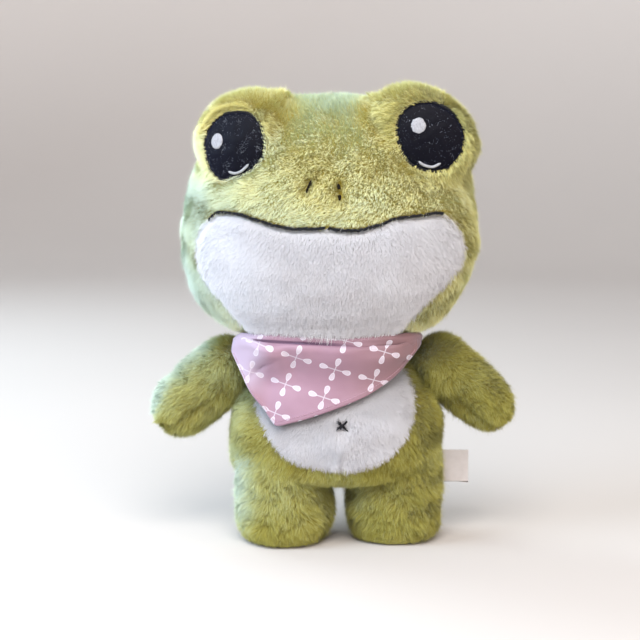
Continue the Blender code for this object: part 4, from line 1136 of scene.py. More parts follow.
BIB_POLY = list(BIB_TOP) + list(BIB_EDGE)[::-1]
BAND_LINE = spline(BAND_PATH, 80, closed=True)[:, :3]
BAND_LINE = np.vstack([BAND_LINE, BAND_LINE[:1]])


def under_scarf(p):
    """0 clear of the scarf, 1 under its band, for points in the body's frame."""
    d = near_path(p, BAND_LINE[::2])
    return 1 - smooth(4.0, 10.0, d)


def const(x, y, z):
    g = np.array((x, y, z), float)
    return lambda p: np.broadcast_to(g, p.shape)


shade_noise = Waves(77, 18.0, 60.0)


def painted_window_light(n, k=0.5):
    """Painted light: the pile is paler on the side that faces the window, towards the top of the frog's right."""
    return k * np.clip((n @ unit(np.array((-0.90, -0.10, 0.42))) - 0.42) / 0.55, 0, 1) ** 1.6


def green_shade(p, lift=0.0):
    """Tone of the pile: the caller's lift paints light and shade, paler and cooler on top and on the lit outside,
    warmer in the middle, plus a slow random change of tone.
    """
    return 0.60 + lift + 0.05 * shade_noise(p)


# ---- head
def head_eye_gap(p, extra=0.0):
    """Smallest distance outside either eye's outline, about."""
    out = np.full(len(p), 99.0)
    for side in EYES:
        s, t, h = eye_local(side, p)
        _, d = eye_ratio(side, s, t)
        near = (p - eye_axes(side)[0]) @ eye_axes(side)[3] > -16
        out = np.minimum(out, np.where(near & (p[:, 1] < -8), d, 99.0))
    return out


def head_comb(p):
    """Nap runs down and a little to the frog's right, and away from the eyes."""
    g = np.tile(np.array((-0.42, -0.15, -1.0)), (len(p), 1))
    for side in EYES:
        c, u, v, n = eye_axes(side)
        s, t, _ = eye_local(side, p)
        _, d = eye_ratio(side, s, t)
        out = unit(s[:, None] * u + t[:, None] * v)
        near = ((p - c) @ n > -20) & (p[:, 1] < -5)
        g = g + out * (1.0 * gauss(np.maximum(d - 2.0, 0), 6.0) * near)[:, None]
    return g


def head_height(p):
    dm, _, nost = head_marks(p)
    h = np.full(len(p), HEAD_PILE + 0.2)
    line, _ = near_outline(p[:, [0, 2]], MOUTH, closed=False)
    h *= 1 - np.where(p[:, 1] < -8, 0.40 * gauss(line, 2.0), 0.0)
    h *= 1 - 0.10 * gauss(dm, 2.2)
    h *= 1 - 0.30 * gauss(p[:, 1] - HEAD_SEAM_Y, 2.0)
    h *= 1 - np.where(p[:, 1] > 8, 0.30 * gauss(p[:, 0], 2.0), 0.0)
    for s in nost:
        h *= 1 - 0.5 * gauss(nost[s], 1.7)
    h *= 1 - 0.45 * under_scarf(from_head(p))
    return h


def is_muzzle(p):
    return near_outline(p[:, [0, 2]], MUZZLE)[1] & (p[:, 1] < -15)


def head_bare(tip):
    """Clear of the eyes, the mouth line and the nostrils, for the ends of fibres."""
    ok = head_eye_gap(tip) > -0.15
    q = tip[:, [0, 2]]
    front = tip[:, 1] < -20
    line, _ = near_outline(q, MOUTH, closed=False)
    few = np.sin(q[:, 0] * 9.1) * np.sin(q[:, 0] * 2.3 + 1.0) > 0.80
    ok &= ~(front & (line < 0.62) & ~few)
    for s in NOSTRILS:
        d, _ = near_outline(q, NOSTRILS[s], closed=False)
        # one tuft crosses the left nostril
        cross = (s == "left") & (np.abs(tip[:, 2] - 193.9) < 0.95)
        loose_hair = (s == "right") & (np.sin(tip[:, 2] * 7.3) * np.sin(tip[:, 0] * 5.1) > 0.35)
        ok &= ~(front & (d < (0.34 if s == "right" else 1.15)) & ~cross & ~loose_hair)
    return ok


def green_on_head(p):
    return (near_outline(p[:, [0, 2]], MUZZLE)[0] < 6) & (p[:, 1] < -15) | ~is_muzzle(p)


def head_shade(p):
    lobes = [1 - smooth(-1.0, 12.0, distance(lobe(side), p)) for side in ("right", "left")]
    front = smooth(30, -10, p[:, 1])
    # painted light: paler on top of the head and on the frog's right, towards the window; painted shade: darker on the
    # frog's left
    lift = 0.24 * smooth(208, 244, p[:, 2]) * smooth(44, 14, np.abs(p[:, 0])) * (1 - np.maximum(*lobes)) \
        + 0.33 * smooth(-16, -82, p[:, 0]) * (1 - 0.7 * lobes[0]) * (0.4 + 0.6 * front) - 0.16 * smooth(10, 70, p[:, 0])
    # painted shade: the lobes are warmer and darker, most of all over the eyes, where the pile shades them
    gap = head_eye_gap(p)
    lift = lift - 0.05 * lobes[0] - 0.11 * lobes[1] - 0.26 * gauss(gap, 7.0) * smooth(218, 230, p[:, 2])
    # the pile parts round the nostrils, and painted shade makes it warmer and darker in these dimples
    _, _, nost = head_marks(p)
    for s in nost:
        lift = lift - 0.30 * gauss(nost[s], 5.0)
    return green_shade(p, lift)


def piece(ob, body, *nodes, slot=None):
    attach(ob, body)
    if nodes:
        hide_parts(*nodes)
    return ob


hs = SK["head"]
regions = {
    "head_front_pile": lambda p: p[:, 1] < HEAD_SEAM_Y,
    "head_back_pile_right": lambda p: (p[:, 1] >= HEAD_SEAM_Y) & (p[:, 0] < 0),
    "head_back_pile_left": lambda p: (p[:, 1] >= HEAD_SEAM_Y) & (p[:, 0] >= 0)}
for k, (name, where) in enumerate(regions.items()):
    dens = 7.5 if "front" in name else 4.4
    p, nr, rng = sample(hs, lambda q, w=where: w(q) & green_on_head(q) & (head_eye_gap(q) > -0.8), dens, 100 + k)
    lean = 36.0 - 15.0 * smooth(0.3, 0.95, nr[:, 2])
    calm = 0.62 * smooth(-5, -62, p[:, 0])
    data = strands(p, nr, rng, head_comb, head_height(p), lean, 0.18 if "front" in name else 0.23, head_shade,
                   twist=22.0 * (1 - calm), tuft=12.0 * (1 - calm), mottle=0.12 * (1 - calm), wander=9.0, clump=0.48,
                   cell=1.25,
                   tuft_lean=6.0 * (1 - calm), seed=200 + k)
    at = (data[1] + data[2]) / 2
    data = only(data, ~is_muzzle(ragged(at, 0.5)) & head_bare(data[2]) & (head_eye_gap(at) > -0.3))
    for ob in pile_objects(name, data, green_pile, from_head):
        piece(ob, "head", slot="green_plush")

head_cloth = cloth_piece("head_cloth", hs, lambda c: ~is_muzzle(c), green_backing, world=from_head)
piece(head_cloth, "head", "head_front_panel", "head_back_panel_right", "head_back_panel_left",
      "eye_lobe_cover_right", "eye_lobe_cover_left", slot="green_plush")
muzzle_cloth = cloth_piece("muzzle_cloth", hs, is_muzzle, white_backing, world=from_head)
piece(muzzle_cloth, "head", "muzzle_panel", slot="white_plush")


def muzzle_comb(p):
    return np.stack([0.004 * p[:, 0] - 0.1, -0.1 + 0 * p[:, 0], -1.0 + 0 * p[:, 0]], 1)


def near_muzzle(p):
    return (near_outline(p[:, [0, 2]], MUZZLE)[0] < 6) & (p[:, 1] < -15) | is_muzzle(p)


p, nr, rng = sample(hs, near_muzzle, 8.6, 120)
line, _ = near_outline(p[:, [0, 2]], MOUTH, closed=False)
mh = (HEAD_PILE + 0.1) * (1 - 0.3 * gauss(line, 1.8))
long_chin = 1 + (0.55 + 0.2 * Waves(63, 2.0, 5.0)(p) + 1.5 * rng.random(len(p)) ** 2) * smooth(127, 118, p[:, 2])
SMOOTH_NAP = dict(clump=0.03, cell=1.3, swirl=5.0, wander=6.0, tuft=1.5, loose=2.2, tuft_lean=0.8, uneven=0.035,
                  twist=10.0, mottle=0.05, guard=0.0)


def side_nap(n):
    k = smooth(0.40, 0.85, np.abs(n[:, 0]))
    return dict(SMOOTH_NAP, clump=0.03 + 0.26 * k, wander=6.0 + 9.0 * k, twist=10.0 + 26.0 * k, uneven=0.035 + 0.08 * k)


# painted light: the white pile is paler towards the frog's right, by the window, and a little towards its left
data = strands(p, nr, rng, muzzle_comb, mh * long_chin, 40.0 + 22.0 * smooth(127, 118, p[:, 2]),
               0.18 - 0.05 * smooth(127, 118, p[:, 2]), lambda q: 0.22 + 0.60 * smooth(-8, -60, q[:, 0]) + 0.28 * smooth(10, 52, q[:, 0])
               + 0.06 * shade_noise(q), seed=230, **side_nap(nr))
data = only(data, is_muzzle(ragged((data[1] + data[2]) / 2, 0.5)) & head_bare(data[2]))
for ob in pile_objects("muzzle_pile", data, white_pile, from_head):
    piece(ob, "head", slot="white_plush")

# ---- torso
ts = SK["torso"]


def is_belly(p):
    return near_outline(p[:, [0, 2]], BELLY)[1] & (p[:, 1] < -10)


def torso_open(p):
    """Where the torso shows: not inside the stumps, the arms' roots or the neck."""
    ok = np.linalg.norm(p - NECK, axis=1) > NECK_R - 4
    for side in ("right", "left"):
        ok &= Leg(side)(p) > -0.40
        c, _, tab = ARMS[side]
        ok &= np.linalg.norm((p - np.array(c)) / (1, ARM_FLAT, 1), axis=1) > tab[0][1] - 5.0
    return ok


def torso_height(p):
    db, _ = near_outline(p[:, [0, 2]], BELLY)
    db = np.where(p[:, 1] < -8, db, 99.0)
    h = np.full(len(p), BODY_PILE + 0.3)
    h *= 1 - 0.10 * gauss(db, 2.5)
    h *= 1 - 0.28 * gauss(p[:, 1] - TORSO_SEAM_Y, 2.0)
    h *= 1 - np.where(p[:, 1] > 6, 0.28 * gauss(p[:, 0] - TORSO_X, 2.0), 0.0)
    return h * (1 - 0.6 * under_scarf(p))


def green_on_torso(p):
    return (near_outline(p[:, [0, 2]], BELLY)[0] < 6) & (p[:, 1] < -10) | ~is_belly(p)


def near_belly(p):
    return (near_outline(p[:, [0, 2]], BELLY)[0] < 6) & (p[:, 1] < -10) | is_belly(p)


def torso_comb(p):
    return np.stack([-0.30 + 0.004 * p[:, 0], -0.05 + 0 * p[:, 0], -1.0 + 0 * p[:, 0]], 1)


regions = {
    "torso_front_pile": lambda p: p[:, 1] < TORSO_SEAM_Y,
    "torso_back_pile_right": lambda p: (p[:, 1] >= TORSO_SEAM_Y) & (p[:, 0] < TORSO_X),
    "torso_back_pile_left": lambda p: (p[:, 1] >= TORSO_SEAM_Y) & (p[:, 0] >= TORSO_X)}
for k, (name, where) in enumerate(regions.items()):
    dens = 7.0 if "front" in name else 4.5
    p, nr, rng = sample(ts, lambda q, w=where: w(q) & green_on_torso(q) & torso_open(q), dens, 300 + k)
    # painted light and shade: paler on the side that faces the window, darker than the head's pile and darker still
    # towards the frog's left
    data = strands(p, nr, rng, torso_comb, torso_height(p), 36.0, 0.18 if "front" in name else 0.23,
                   lambda q, n=nr: green_shade(q, painted_window_light(n, 0.40) - 0.46 - 0.10 * smooth(-20, 50, q[:, 0])), swirl=18.0,
                   seed=320 + k)
    data = only(data, ~is_belly(ragged((data[1] + data[2]) / 2, 0.6)))
    for ob in pile_objects(name, data, body_pile):
        piece(ob, "torso", slot="green_plush")
torso_cloth = cloth_piece("torso_cloth", ts, lambda c: ~is_belly(c), green_backing)
piece(torso_cloth, "torso", "torso_front_panel", "torso_back_panel_right", "torso_back_panel_left",
      slot="green_plush")
belly_cloth = cloth_piece("belly_cloth", ts, is_belly, white_backing)
piece(belly_cloth, "torso", "belly_panel", slot="white_plush")


def belly_comb(p):
    g = np.stack([0.006 * (p[:, 0] - 2.0), 0 * p[:, 0], -1.0 + 0 * p[:, 0]], 1)
    # the nap falls into the dart from both sides
    k = gauss(p[:, 0] - 3.2, 5.0) * smooth(60, 52, p[:, 2])
    g[:, 0] -= k * np.sign(p[:, 0] - 3.2) * 0.5
    return g


def belly_height(p):
    q = p[:, [0, 2]]
    h = np.full(len(p), BODY_PILE + 0.1)
    nav = np.hypot(p[:, 0] - NAVEL[0], p[:, 2] - NAVEL[1])
    h *= 1 - 0.30 * gauss(nav, 4.0)
    dart, _ = near_outline(q, ((3.2, 57.0), (3.0, 50.0), (3.8, 42.0)), closed=False)
    h *= 1 - 0.20 * gauss(dart, 1.4) * smooth(58, 46, p[:, 2])
    _, cover = near_outline(q, BIB_POLY)
    return h * np.where(cover, 0.8, 1.0) * (1 - 0.6 * under_scarf(p))


p, nr, rng = sample(ts, lambda q: near_belly(q) & torso_open(q), 8.0, 340)
# painted light: the white pile is paler towards the frog's left
data = strands(p, nr, rng, belly_comb, belly_height(p), 40.0, 0.18, lambda q: 0.16 + 0.26 * smooth(10, 42, q[:, 0]) + 0.06 * shade_noise(q), seed=345,
               **side_nap(nr))
nx, nz = data[2][:, 0] - NAVEL[0], data[2][:, 2] - NAVEL[1]
cross = np.minimum(*[np.abs(nx * math.sin(b) - nz * math.cos(b)) for b in (0.70, -0.76)])
stitched = (cross < 0.75) & (np.hypot(nx, nz) < 3.3) & (data[2][:, 1] < 0)
data = only(data, is_belly(ragged((data[1] + data[2]) / 2, 0.6)) & ~stitched)
for ob in pile_objects("belly_pile", data, white_pile):
    piece(ob, "torso", slot="white_plush")

# ---- neck
p, nr, rng = sample(SK["neck"], lambda q: (q[:, 2] > 96) & (q[:, 2] < 120), 1.6, 350)
data = strands(p, nr, rng, const(0, 0, -1), np.full(len(p), 4.0), 50.0, 0.32, lambda q: green_shade(q, -0.1), seed=355)
for ob in pile_objects("neck_pile", data, green_pile):
    piece(ob, "neck", slot="green_plush")
neck_cloth = cloth_piece("neck_cloth", SK["neck"], lambda c: c[:, 2] > 0, green_backing)
piece(neck_cloth, "neck", "neck_stuffing", slot="green_plush")


# ---- arms and legs
def limb(ob, a, b, start, end, *nodes, slot="green_plush"):
    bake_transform(ob)
    if nodes:
        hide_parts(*nodes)


for k, side in enumerate(("right", "left")):
    arm = Arm(side)
    sk = SK["arm_" + side]

    def arm_comb(p, arm=arm, side=side):
        a, s = arm_seam(side, p)
        g = np.tile(arm.d + np.array((0.0, 0.0, -0.35)), (len(p), 1))
        q = p - arm.c
        radial = q - np.outer(q @ arm.d, arm.d)
        end = smooth(arm.end - 18, arm.end - 4, s)[:, None]
        g = g * (1 - end) - unit(radial) * end * 0.6 + g * end * 0.3
        return g

    def arm_height(p, arm=arm, side=side):
        a, s = arm_seam(side, p)
        h = np.full(len(p), LIMB_PILE + 0.3)
        h *= 1 - 0.30 * gauss(a, 2.2) * smooth(6, 20, s)
        h *= 1 - 0.25 * gauss(np.abs(s - arm.end), 3.5)
        return h * (1 - 0.75 * under_scarf(p))

    shown = lambda q: (Loft(TORSO, [(28.5, TORSO_X), (107.5, TORSO_X)])(q) > -0.12)
    p, nr, rng = sample(sk, shown, 6.8, 400 + k)
    # painted light and shade: the arm on the frog's right, towards the window, is paler, the one on its left darker
    data = strands(p, nr, rng, arm_comb, arm_height(p), 36.0, 0.19,
                   lambda q, s=side, n=nr: green_shade(q, painted_window_light(n, 0.98 if s == "right" else 0.25)
                                                       - (0.36 if s == "right" else 0.53)),
                   swirl=18.0, mottle=0.11, seed=420 + k)
    start, end = arm.c - arm.d * 9.0, arm.c + arm.d * 9.0
    for ob in pile_objects("arm_pile_" + side, data, body_pile):
        limb(ob, "torso", "arm_" + side, start, end)
    ob = cloth_piece("arm_cloth_" + side, sk, lambda c: c[:, 2] > -99, green_backing)
    limb(ob, "torso", "arm_" + side, start, end, "arm_cover_" + side)

for k, side in enumerate(("right", "left")):
    leg = Leg(side)
    sk = SK["leg_" + side]

    def leg_comb(p, leg=leg):
        q = p - leg.c
        g = np.stack([0.010 * q[:, 0] - 0.12, 0.010 * q[:, 1], -1.0 + 0 * q[:, 0]], 1)
        return g

    def leg_height(p, leg=leg):
        h = np.full(len(p), LEG_PILE + 0.4)
        # brushed down to the floor round the foot
        return h * (0.42 + 0.58 * smooth(0.0, 9.0, p[:, 2]))

    def leg_shown(q, leg=leg):
        inside = Loft(TORSO, [(28.5, TORSO_X), (107.5, TORSO_X)])(q) < -0.34
        return ~inside & (q[:, 2] > 2.2)

    p, nr, rng = sample(sk, leg_shown, 6.6, 500 + k)
    # painted light and shade: the leg on the frog's right, towards the window, is paler, the one on its left darker
    # pile near the floor hangs outward and down, never through it
    data = list(strands(p, nr, rng, leg_comb, leg_height(p), 40.0, 0.19,
                        lambda q, s=side, n=nr: green_shade(q, painted_window_light(n, 0.92 if s == "right" else 0.28)
                                                            - (0.49 if s == "right" else 0.54)),
                        clump=0.30, cell=1.1, swirl=22.0, swirl_scale=(8.0, 20.0), tuft=10.0, mottle=0.13, guard=0.08,
                        seed=520 + k))
    for j in (1, 2):
        low = np.minimum(data[j][:, 2] - 0.5, 0.0)
        data[j] = data[j] - np.stack([0 * low, 0 * low, low], 1)
    start, end = leg.c + (0, 0, 9.0), leg.c - (0, 0, 9.0)
    for ob in pile_objects("leg_pile_" + side, data, body_pile):
        limb(ob, "torso", "leg_" + side, start, end)
    ob = cloth_piece("leg_cloth_" + side, sk, lambda c: c[:, 2] > 1.2, green_backing)
    limb(ob, "torso", "leg_" + side, start, end, "leg_cover_" + side)


# -------------------------------------------------------------- eyes, stitches
def stitch_ribbed(name, side, centre, radii, slant, h, rise, material, pitch=0.42):
    """Satin-stitched oval on the eye: ridges of thread across a low dome."""
    rings, seg = 12, 64
    verts, quads, tris = [], [], []
    ca, sa = math.cos(slant), math.sin(slant)
    rng = np.random.default_rng(int(abs(centre[0]) * 100))
    edge = 1 + 0.03 * rng.normal(size=seg)
    rows = []
    for i in range(1, rings + 1):
        k = i / rings
        a = np.linspace(0, 2 * math.pi, seg, endpoint=False)
        s = centre[0] + radii[0] * k * np.cos(a) * (1 + (edge - 1) * k)
        t = centre[1] + radii[1] * k * np.sin(a) * (1 + (edge - 1) * k)
        cross = (s * ca + t * sa) / pitch
        ridge = 0.12 * np.cos(2 * math.pi * cross)
        dome = rise * np.sqrt(max(1 - k**4, 0.0)) + ridge * (1 - k**8)
        rows.append(eye_at(side, s, t, h + dome))
    top = eye_at(side, np.array([centre[0]]), np.array([centre[1]]), h + rise)
    under = eye_at(side, centre[0] + radii[0] * 0.97 * np.cos(a), centre[1] + radii[1] * 0.97 * np.sin(a), np.full(seg, h - 0.5))
    mid = eye_at(side, np.array([centre[0]]), np.array([centre[1]]), h - 0.5)
    verts = np.vstack([top] + rows + [under, mid])
    n_rows = rings + 1
    quads = grid_faces(n_rows, seg, close_cols=True, base=1)
    last = len(verts) - 1
    tris = [(0, 1 + j, 1 + (j + 1) % seg) for j in range(seg)]
    b = 1 + (n_rows - 1) * seg
    tris += [(last, b + (j + 1) % seg, b + j) for j in range(seg)]
    quads = quads[:, ::-1]
    return mesh_object(name, from_head(verts), quads, tris, material)


def thread_tube(name, pts, normals, radius, material, ridge=0.0, per=3, flat=0.7, taper=True, seg=8):
    """A raised line of satin stitch along points, ridged across its length."""
    n = len(pts)
    tan = unit(np.gradient(pts, axis=0))
    side = unit(np.cross(tan, normals))
    nr = np.cross(side, tan)
    rad = np.full(n, float(radius)) if np.isscalar(radius) else np.asarray(radius, float)
    if taper:
        t = np.linspace(0, 1, n)
        rad = rad * np.sqrt(np.clip(np.minimum(t, 1 - t) * 9, 0.02, 1))
    rad = rad * (1 + ridge * np.cos(2 * math.pi * np.arange(n) / per))
    rows = []
    for k in range(seg):
        a = 2 * math.pi * k / seg
        rows.append(pts + side * (rad * math.cos(a))[:, None] + nr * (rad * flat * math.sin(a))[:, None])
    v = np.stack(rows, 1).reshape(-1, 3)
    quads = grid_faces(n, seg, close_cols=True)
    v = np.vstack([v, pts[:1], pts[-1:]])
    a, b = n * seg, n * seg + 1
    tris = [(a, (j + 1) % seg, j) for j in range(seg)]
    e = (n - 1) * seg
    tris += [(b, e + j, e + (j + 1) % seg) for j in range(seg)]
    return mesh_object(name, from_head(v) if material is not hem_thread else v, quads, tris, material)


for k, side in enumerate(("right", "left")):
    # the patch: a domed oval of cloth, its edge turned down under the stitching
    rings, seg = 26, 120
    a = np.linspace(-math.pi, math.pi, seg, endpoint=False)
    edge = eye_edge(side, a)
    rows, uvs = [], []
    puff = Waves(600 + k, 4.0, 9.0)
    for i in range(1, rings + 1):
        q = i / rings
        s, t = edge * q * np.cos(a), edge * q * np.sin(a)
        flat3 = np.stack([s, t, 0 * s], 1)
        h = 0.10 * puff(flat3) * (1 - q**3) - 1.0 * smooth(0.90, 1.0, q) + 0.5 * (1 - q**2)
        rows.append(eye_at(side, s, t, h))
    under = eye_at(side, edge * 0.98 * np.cos(a), edge * 0.98 * np.sin(a), np.full(seg, -1.9))
    top = eye_at(side, np.zeros(1), np.zeros(1), np.full(1, 0.5))
    low = eye_at(side, np.zeros(1), np.zeros(1), np.full(1, -1.9))
    v = np.vstack([top] + rows + [under, low])
    quads = grid_faces(rings + 1, seg, close_cols=True, base=1)[:, ::-1]
    tris = [(0, 1 + j, 1 + (j + 1) % seg) for j in range(seg)]
    b, last = 1 + rings * seg, len(v) - 1
    tris += [(last, b + (j + 1) % seg, b + j) for j in range(seg)]
    ob = mesh_object("eye_cloth_" + side, from_head(v), quads, tris, eye_cloth)
    piece(ob, "head", "eye_patch_" + side, slot="eye_cloth")
    # stitched border
    m = 360
    aa = np.linspace(-math.pi, math.pi, m + 1)
    ee = eye_edge(side, aa) * 0.985
    ring = eye_at(side, ee * np.cos(aa), ee * np.sin(aa), np.full(m + 1, -0.6))
    ob = thread_tube("eye_border_" + side, ring, np.tile(eye_axes(side)[3], (m + 1, 1)), 0.75, rim_thread,
                     ridge=0.10, per=3, flat=0.75, taper=False)
    piece(ob, "head", slot="eye_cloth")
    # short bright slubs in the cloth
    rng = np.random.default_rng(640 + k)
    count = 900 if side == "right" else 520
    rr, th = np.sqrt(rng.random(count)) * 0.93, rng.uniform(-math.pi, math.pi, count)
    s, t = rr * eye_edge(side, th) * np.cos(th), rr * eye_edge(side, th) * np.sin(th)
    gc, gr = GLINTS[side]
    ok = np.hypot((s - gc[0]) / (gr[0] + 0.6), (t - gc[1]) / (gr[1] + 0.6)) > 1
    s, t = s[ok], t[ok]
    count = len(s)
    big = rng.random(count) ** 2.4
    ln, wd = 0.06 + 0.15 * big, 0.05 + 0.10 * big
    ang = np.radians(rng.normal(60, 14, count))
    dx, dz = np.cos(ang) * ln, np.sin(ang) * ln
    ex, ez = -np.sin(ang) * wd, np.cos(ang) * wd
    base_h = 0.5 * (1 - (np.hypot(s, t) / eye_edge(side, np.arctan2(t, s))) ** 2) - 0.02
    v = np.stack([eye_at(side, s - dx, t - dz, base_h - 0.1), eye_at(side, s + ex, t + ez, base_h),
                  eye_at(side, s + dx, t + dz, base_h - 0.1), eye_at(side, s - ex, t - ez, base_h),
                  eye_at(side, s, t, base_h + 0.10), eye_at(side, s, t, base_h - 0.2)], 1).reshape(-1, 3)
    base = (np.arange(count) * 6)[:, None]
    tris = np.concatenate([base + np.array(x) for x in ((0, 4, 1), (1, 4, 2), (2, 4, 3), (3, 4, 0), (0, 1, 5), (1, 2, 5),
                                                        (2, 3, 5), (3, 0, 5))])
    ob = mesh_object("eye_slubs_" + side, from_head(v), None, tris, glitter, smooth_shade=False)
    piece(ob, "head", slot="eye_cloth")
    gc, gr = GLINTS[side]
    ob = stitch_ribbed("eye_dot_" + side, side, gc, gr, 0.55 if side == "left" else 0.35, 0.45, 0.45, white_thread)
    piece(ob, "head", "eye_glint_" + side, slot="white_thread")
    arc = spline(ARCS[side], 90)
    pts = eye_at(side, arc[:, 0], arc[:, 1], np.full(len(arc), 0.25))
    ob = thread_tube("eye_smile_" + side, pts, np.tile(eye_axes(side)[3], (len(pts), 1)), 0.72, white_thread,
                     ridge=0.07, per=3, flat=0.7)
    piece(ob, "head", "eye_arc_" + side, slot="white_thread")


def stitches(name, pts, normals, tangents, length, width, slant, rng, material, world, lift=0.0, dip=0.7):
    """Separate short stitches, each a thread that comes up and goes down again."""
    verts, quads, tris = [], [], []
    seg, rows = 6, 5
    for i in range(len(pts)):
        a = slant + rng.normal(0, 0.22)
        side = np.cross(normals[i], tangents[i])
        d = unit(tangents[i] * math.cos(a) + side * math.sin(a))
        e = np.cross(normals[i], d)
        ln, wd = length * rng.uniform(0.75, 1.25), width * rng.uniform(0.8, 1.2)
        base = len(verts)
        up = lift + rng.normal(0, 0.12)
        for r in range(rows):
            x = (r / (rows - 1) - 0.5) * ln
            k = 1 - (2 * r / (rows - 1) - 1) ** 2
            rad = wd / 2 * (0.45 + 0.55 * k)
            c = pts[i] + d * x + normals[i] * (up + dip * (k - 1))
            for s in range(seg):
                b = 2 * math.pi * s / seg
                verts.append(c + e * (rad * math.cos(b)) + normals[i] * (rad * math.sin(b)))
        quads += (grid_faces(rows, seg, close_cols=True) + base).tolist()
        tris += [(base, base + s + 1, base + s + 2)[::-1] for s in range(seg - 2)]
        e0 = base + (rows - 1) * seg
        tris += [(e0, e0 + s + 1, e0 + s + 2) for s in range(seg - 2)]
    return mesh_object(name, world(np.array(verts)), quads, tris, material)


# mouth: a close row of small slanting stitches on the edge of the muzzle
rng = np.random.default_rng(700)
line = spline(MOUTH, 420)
keep = np.ones(len(line), bool)
keep &= ~((np.abs(line[:, 0] - 1.5) < 0.9))                      # a small break
keep &= rng.random(len(line)) > 0.10 + 0.25 * (np.sin(line[:, 0] * 0.9) > 0.86)
line = line[keep]
pts, nrm = front_at(HEAD, line[:, 0], line[:, 1], -0.9, head_cx(line[:, 1]))
pts = pts + nrm * (0.25 * np.sin(line[:, 0] * 0.7))[:, None]
tan = unit(np.gradient(pts, axis=0))
across = np.cross(nrm, tan)
wave = (0.30 * np.sin(line[:, 0] * 0.55 + 1.0) + 0.18 * np.sin(line[:, 0] * 1.7))[:, None]
rows = [pts + across * (k + 0.5 * wave) - nrm * (0.2 * abs(k)) for k in (-0.24, 0.24)]
ob = stitches("mouth_stitches", np.vstack(rows), np.vstack([nrm] * 2), np.vstack([tan] * 2), 1.75, 0.46, 0.85, rng,
              black_thread, from_head, lift=0.35)
piece(ob, "head", "mouth_line", slot="black_thread")
for side in ("right", "left"):
    wide = 0.22 if side == "right" else 0.62
    line = spline(NOSTRILS[side], 11)
    pts, nrm = front_at(HEAD, line[:, 0], line[:, 1], -2.3, head_cx(line[:, 1]))
    tan = unit(np.gradient(pts, axis=0))
    across = np.cross(nrm, tan)
    taper = np.sqrt(np.clip(1 - np.linspace(-1, 1, 11) ** 4, 0.1, 1))[:, None]
    if side == "left":
        taper = (0.55 + 0.45 * np.abs(np.linspace(-1, 1, 11))[:, None] ** 1.2) * taper
    # on the left a tuft parts the stitches into two knots
    on = np.abs(np.linspace(-1, 1, 11)) > (0.55 if side == "left" else -1.0)
    rows = [(pts + across * (k * wide) * taper - nrm * (0.35 * abs(k)))[on] for k in (-1.0, 0.0, 1.0)]
    ob = stitches("nostril_stitches_" + side, np.vstack(rows), np.vstack([nrm[on]] * 3), np.vstack([tan[on]] * 3),
                  2.2 if side == "right" else 1.6, 0.95,
                  0.12, rng, hole_thread, from_head, dip=0.3)
    piece(ob, "head", "nostril_" + side, slot="black_thread")
# navel: two crossed bundles of stitches
pts, nrm, tan = [], [], []
for ang in (0.70, -0.76):
    for off in (-0.34, 0.0, 0.34):
        for at in (-2.0, -0.7, 0.7, 2.0) if off else (-2.7, -0.9, 0.9, 2.7):
            x = NAVEL[0] + math.cos(ang) * at - math.sin(ang) * off
            z = NAVEL[1] + (math.sin(ang) * at + math.cos(ang) * off) * 0.92
            q, n = front_at(TORSO, [x], [z], -0.9, TORSO_X)
            pts.append(q[0] + n[0] * (0.35 if ang > 0 else 0.0))
            nrm.append(n[0])
            tan.append(unit(np.array((math.cos(ang), 0.0, math.sin(ang)))))
ob = stitches("navel_stitches", np.array(pts), np.array(nrm), np.array(tan), 2.9, 0.58, 0.0, rng, black_thread,
              lambda x: x, dip=0.25)
piece(ob, "torso", "navel_stitch", slot="black_thread")


# ------------------------------------------------------------------- the scarf
def bib_y(x):
    return 49.2 * np.sqrt(np.maximum(0.05, 1.0 - (x / 72.0) ** 2))


def flat_x(x):
    q = np.linspace(-60, 60, 2401)
    y = bib_y(q)
    arc = np.r_[0, np.cumsum(np.hypot(np.diff(q), np.diff(y)))]
    return np.interp(x, q, arc) - np.interp(0.0, q, arc)


def cloth_sheet(name, front, back, uv, material, close=False):
    """A thin closed sheet from two grids of the same shape."""
    rows, cols = front.shape[:2]
    n = rows * cols
    v = np.vstack([front.reshape(-1, 3), back.reshape(-1, 3)])
    q = [grid_faces(rows, cols, close_cols=close), grid_faces(rows, cols, close_cols=close)[:, ::-1] + n]
    rim = [(0 + j, j + 1 if j + 1 < cols else 0) for j in range(cols if close else cols - 1)]
    q.append(np.array([(b, a, a + n, b + n) for a, b in rim]))
    e = (rows - 1) * cols
    rim = [(e + j, e + (j + 1) % cols) for j in range(cols if close else cols - 1)]
    q.append(np.array([(a, b, b + n, a + n) for a, b in rim]))
    if not close:
        rim = [(i * cols, (i + 1) * cols) for i in range(rows - 1)]
        q.append(np.array([(a, b, b + n, a + n) for a, b in rim]))
        rim = [(i * cols + cols - 1, (i + 1) * cols + cols - 1) for i in range(rows - 1)]
        q.append(np.array([(b, a, a + n, b + n) for a, b in rim]))
    return mesh_object(name, v, np.concatenate(q), None, material, uv=np.vstack([uv.reshape(-1, 2)] * 2))


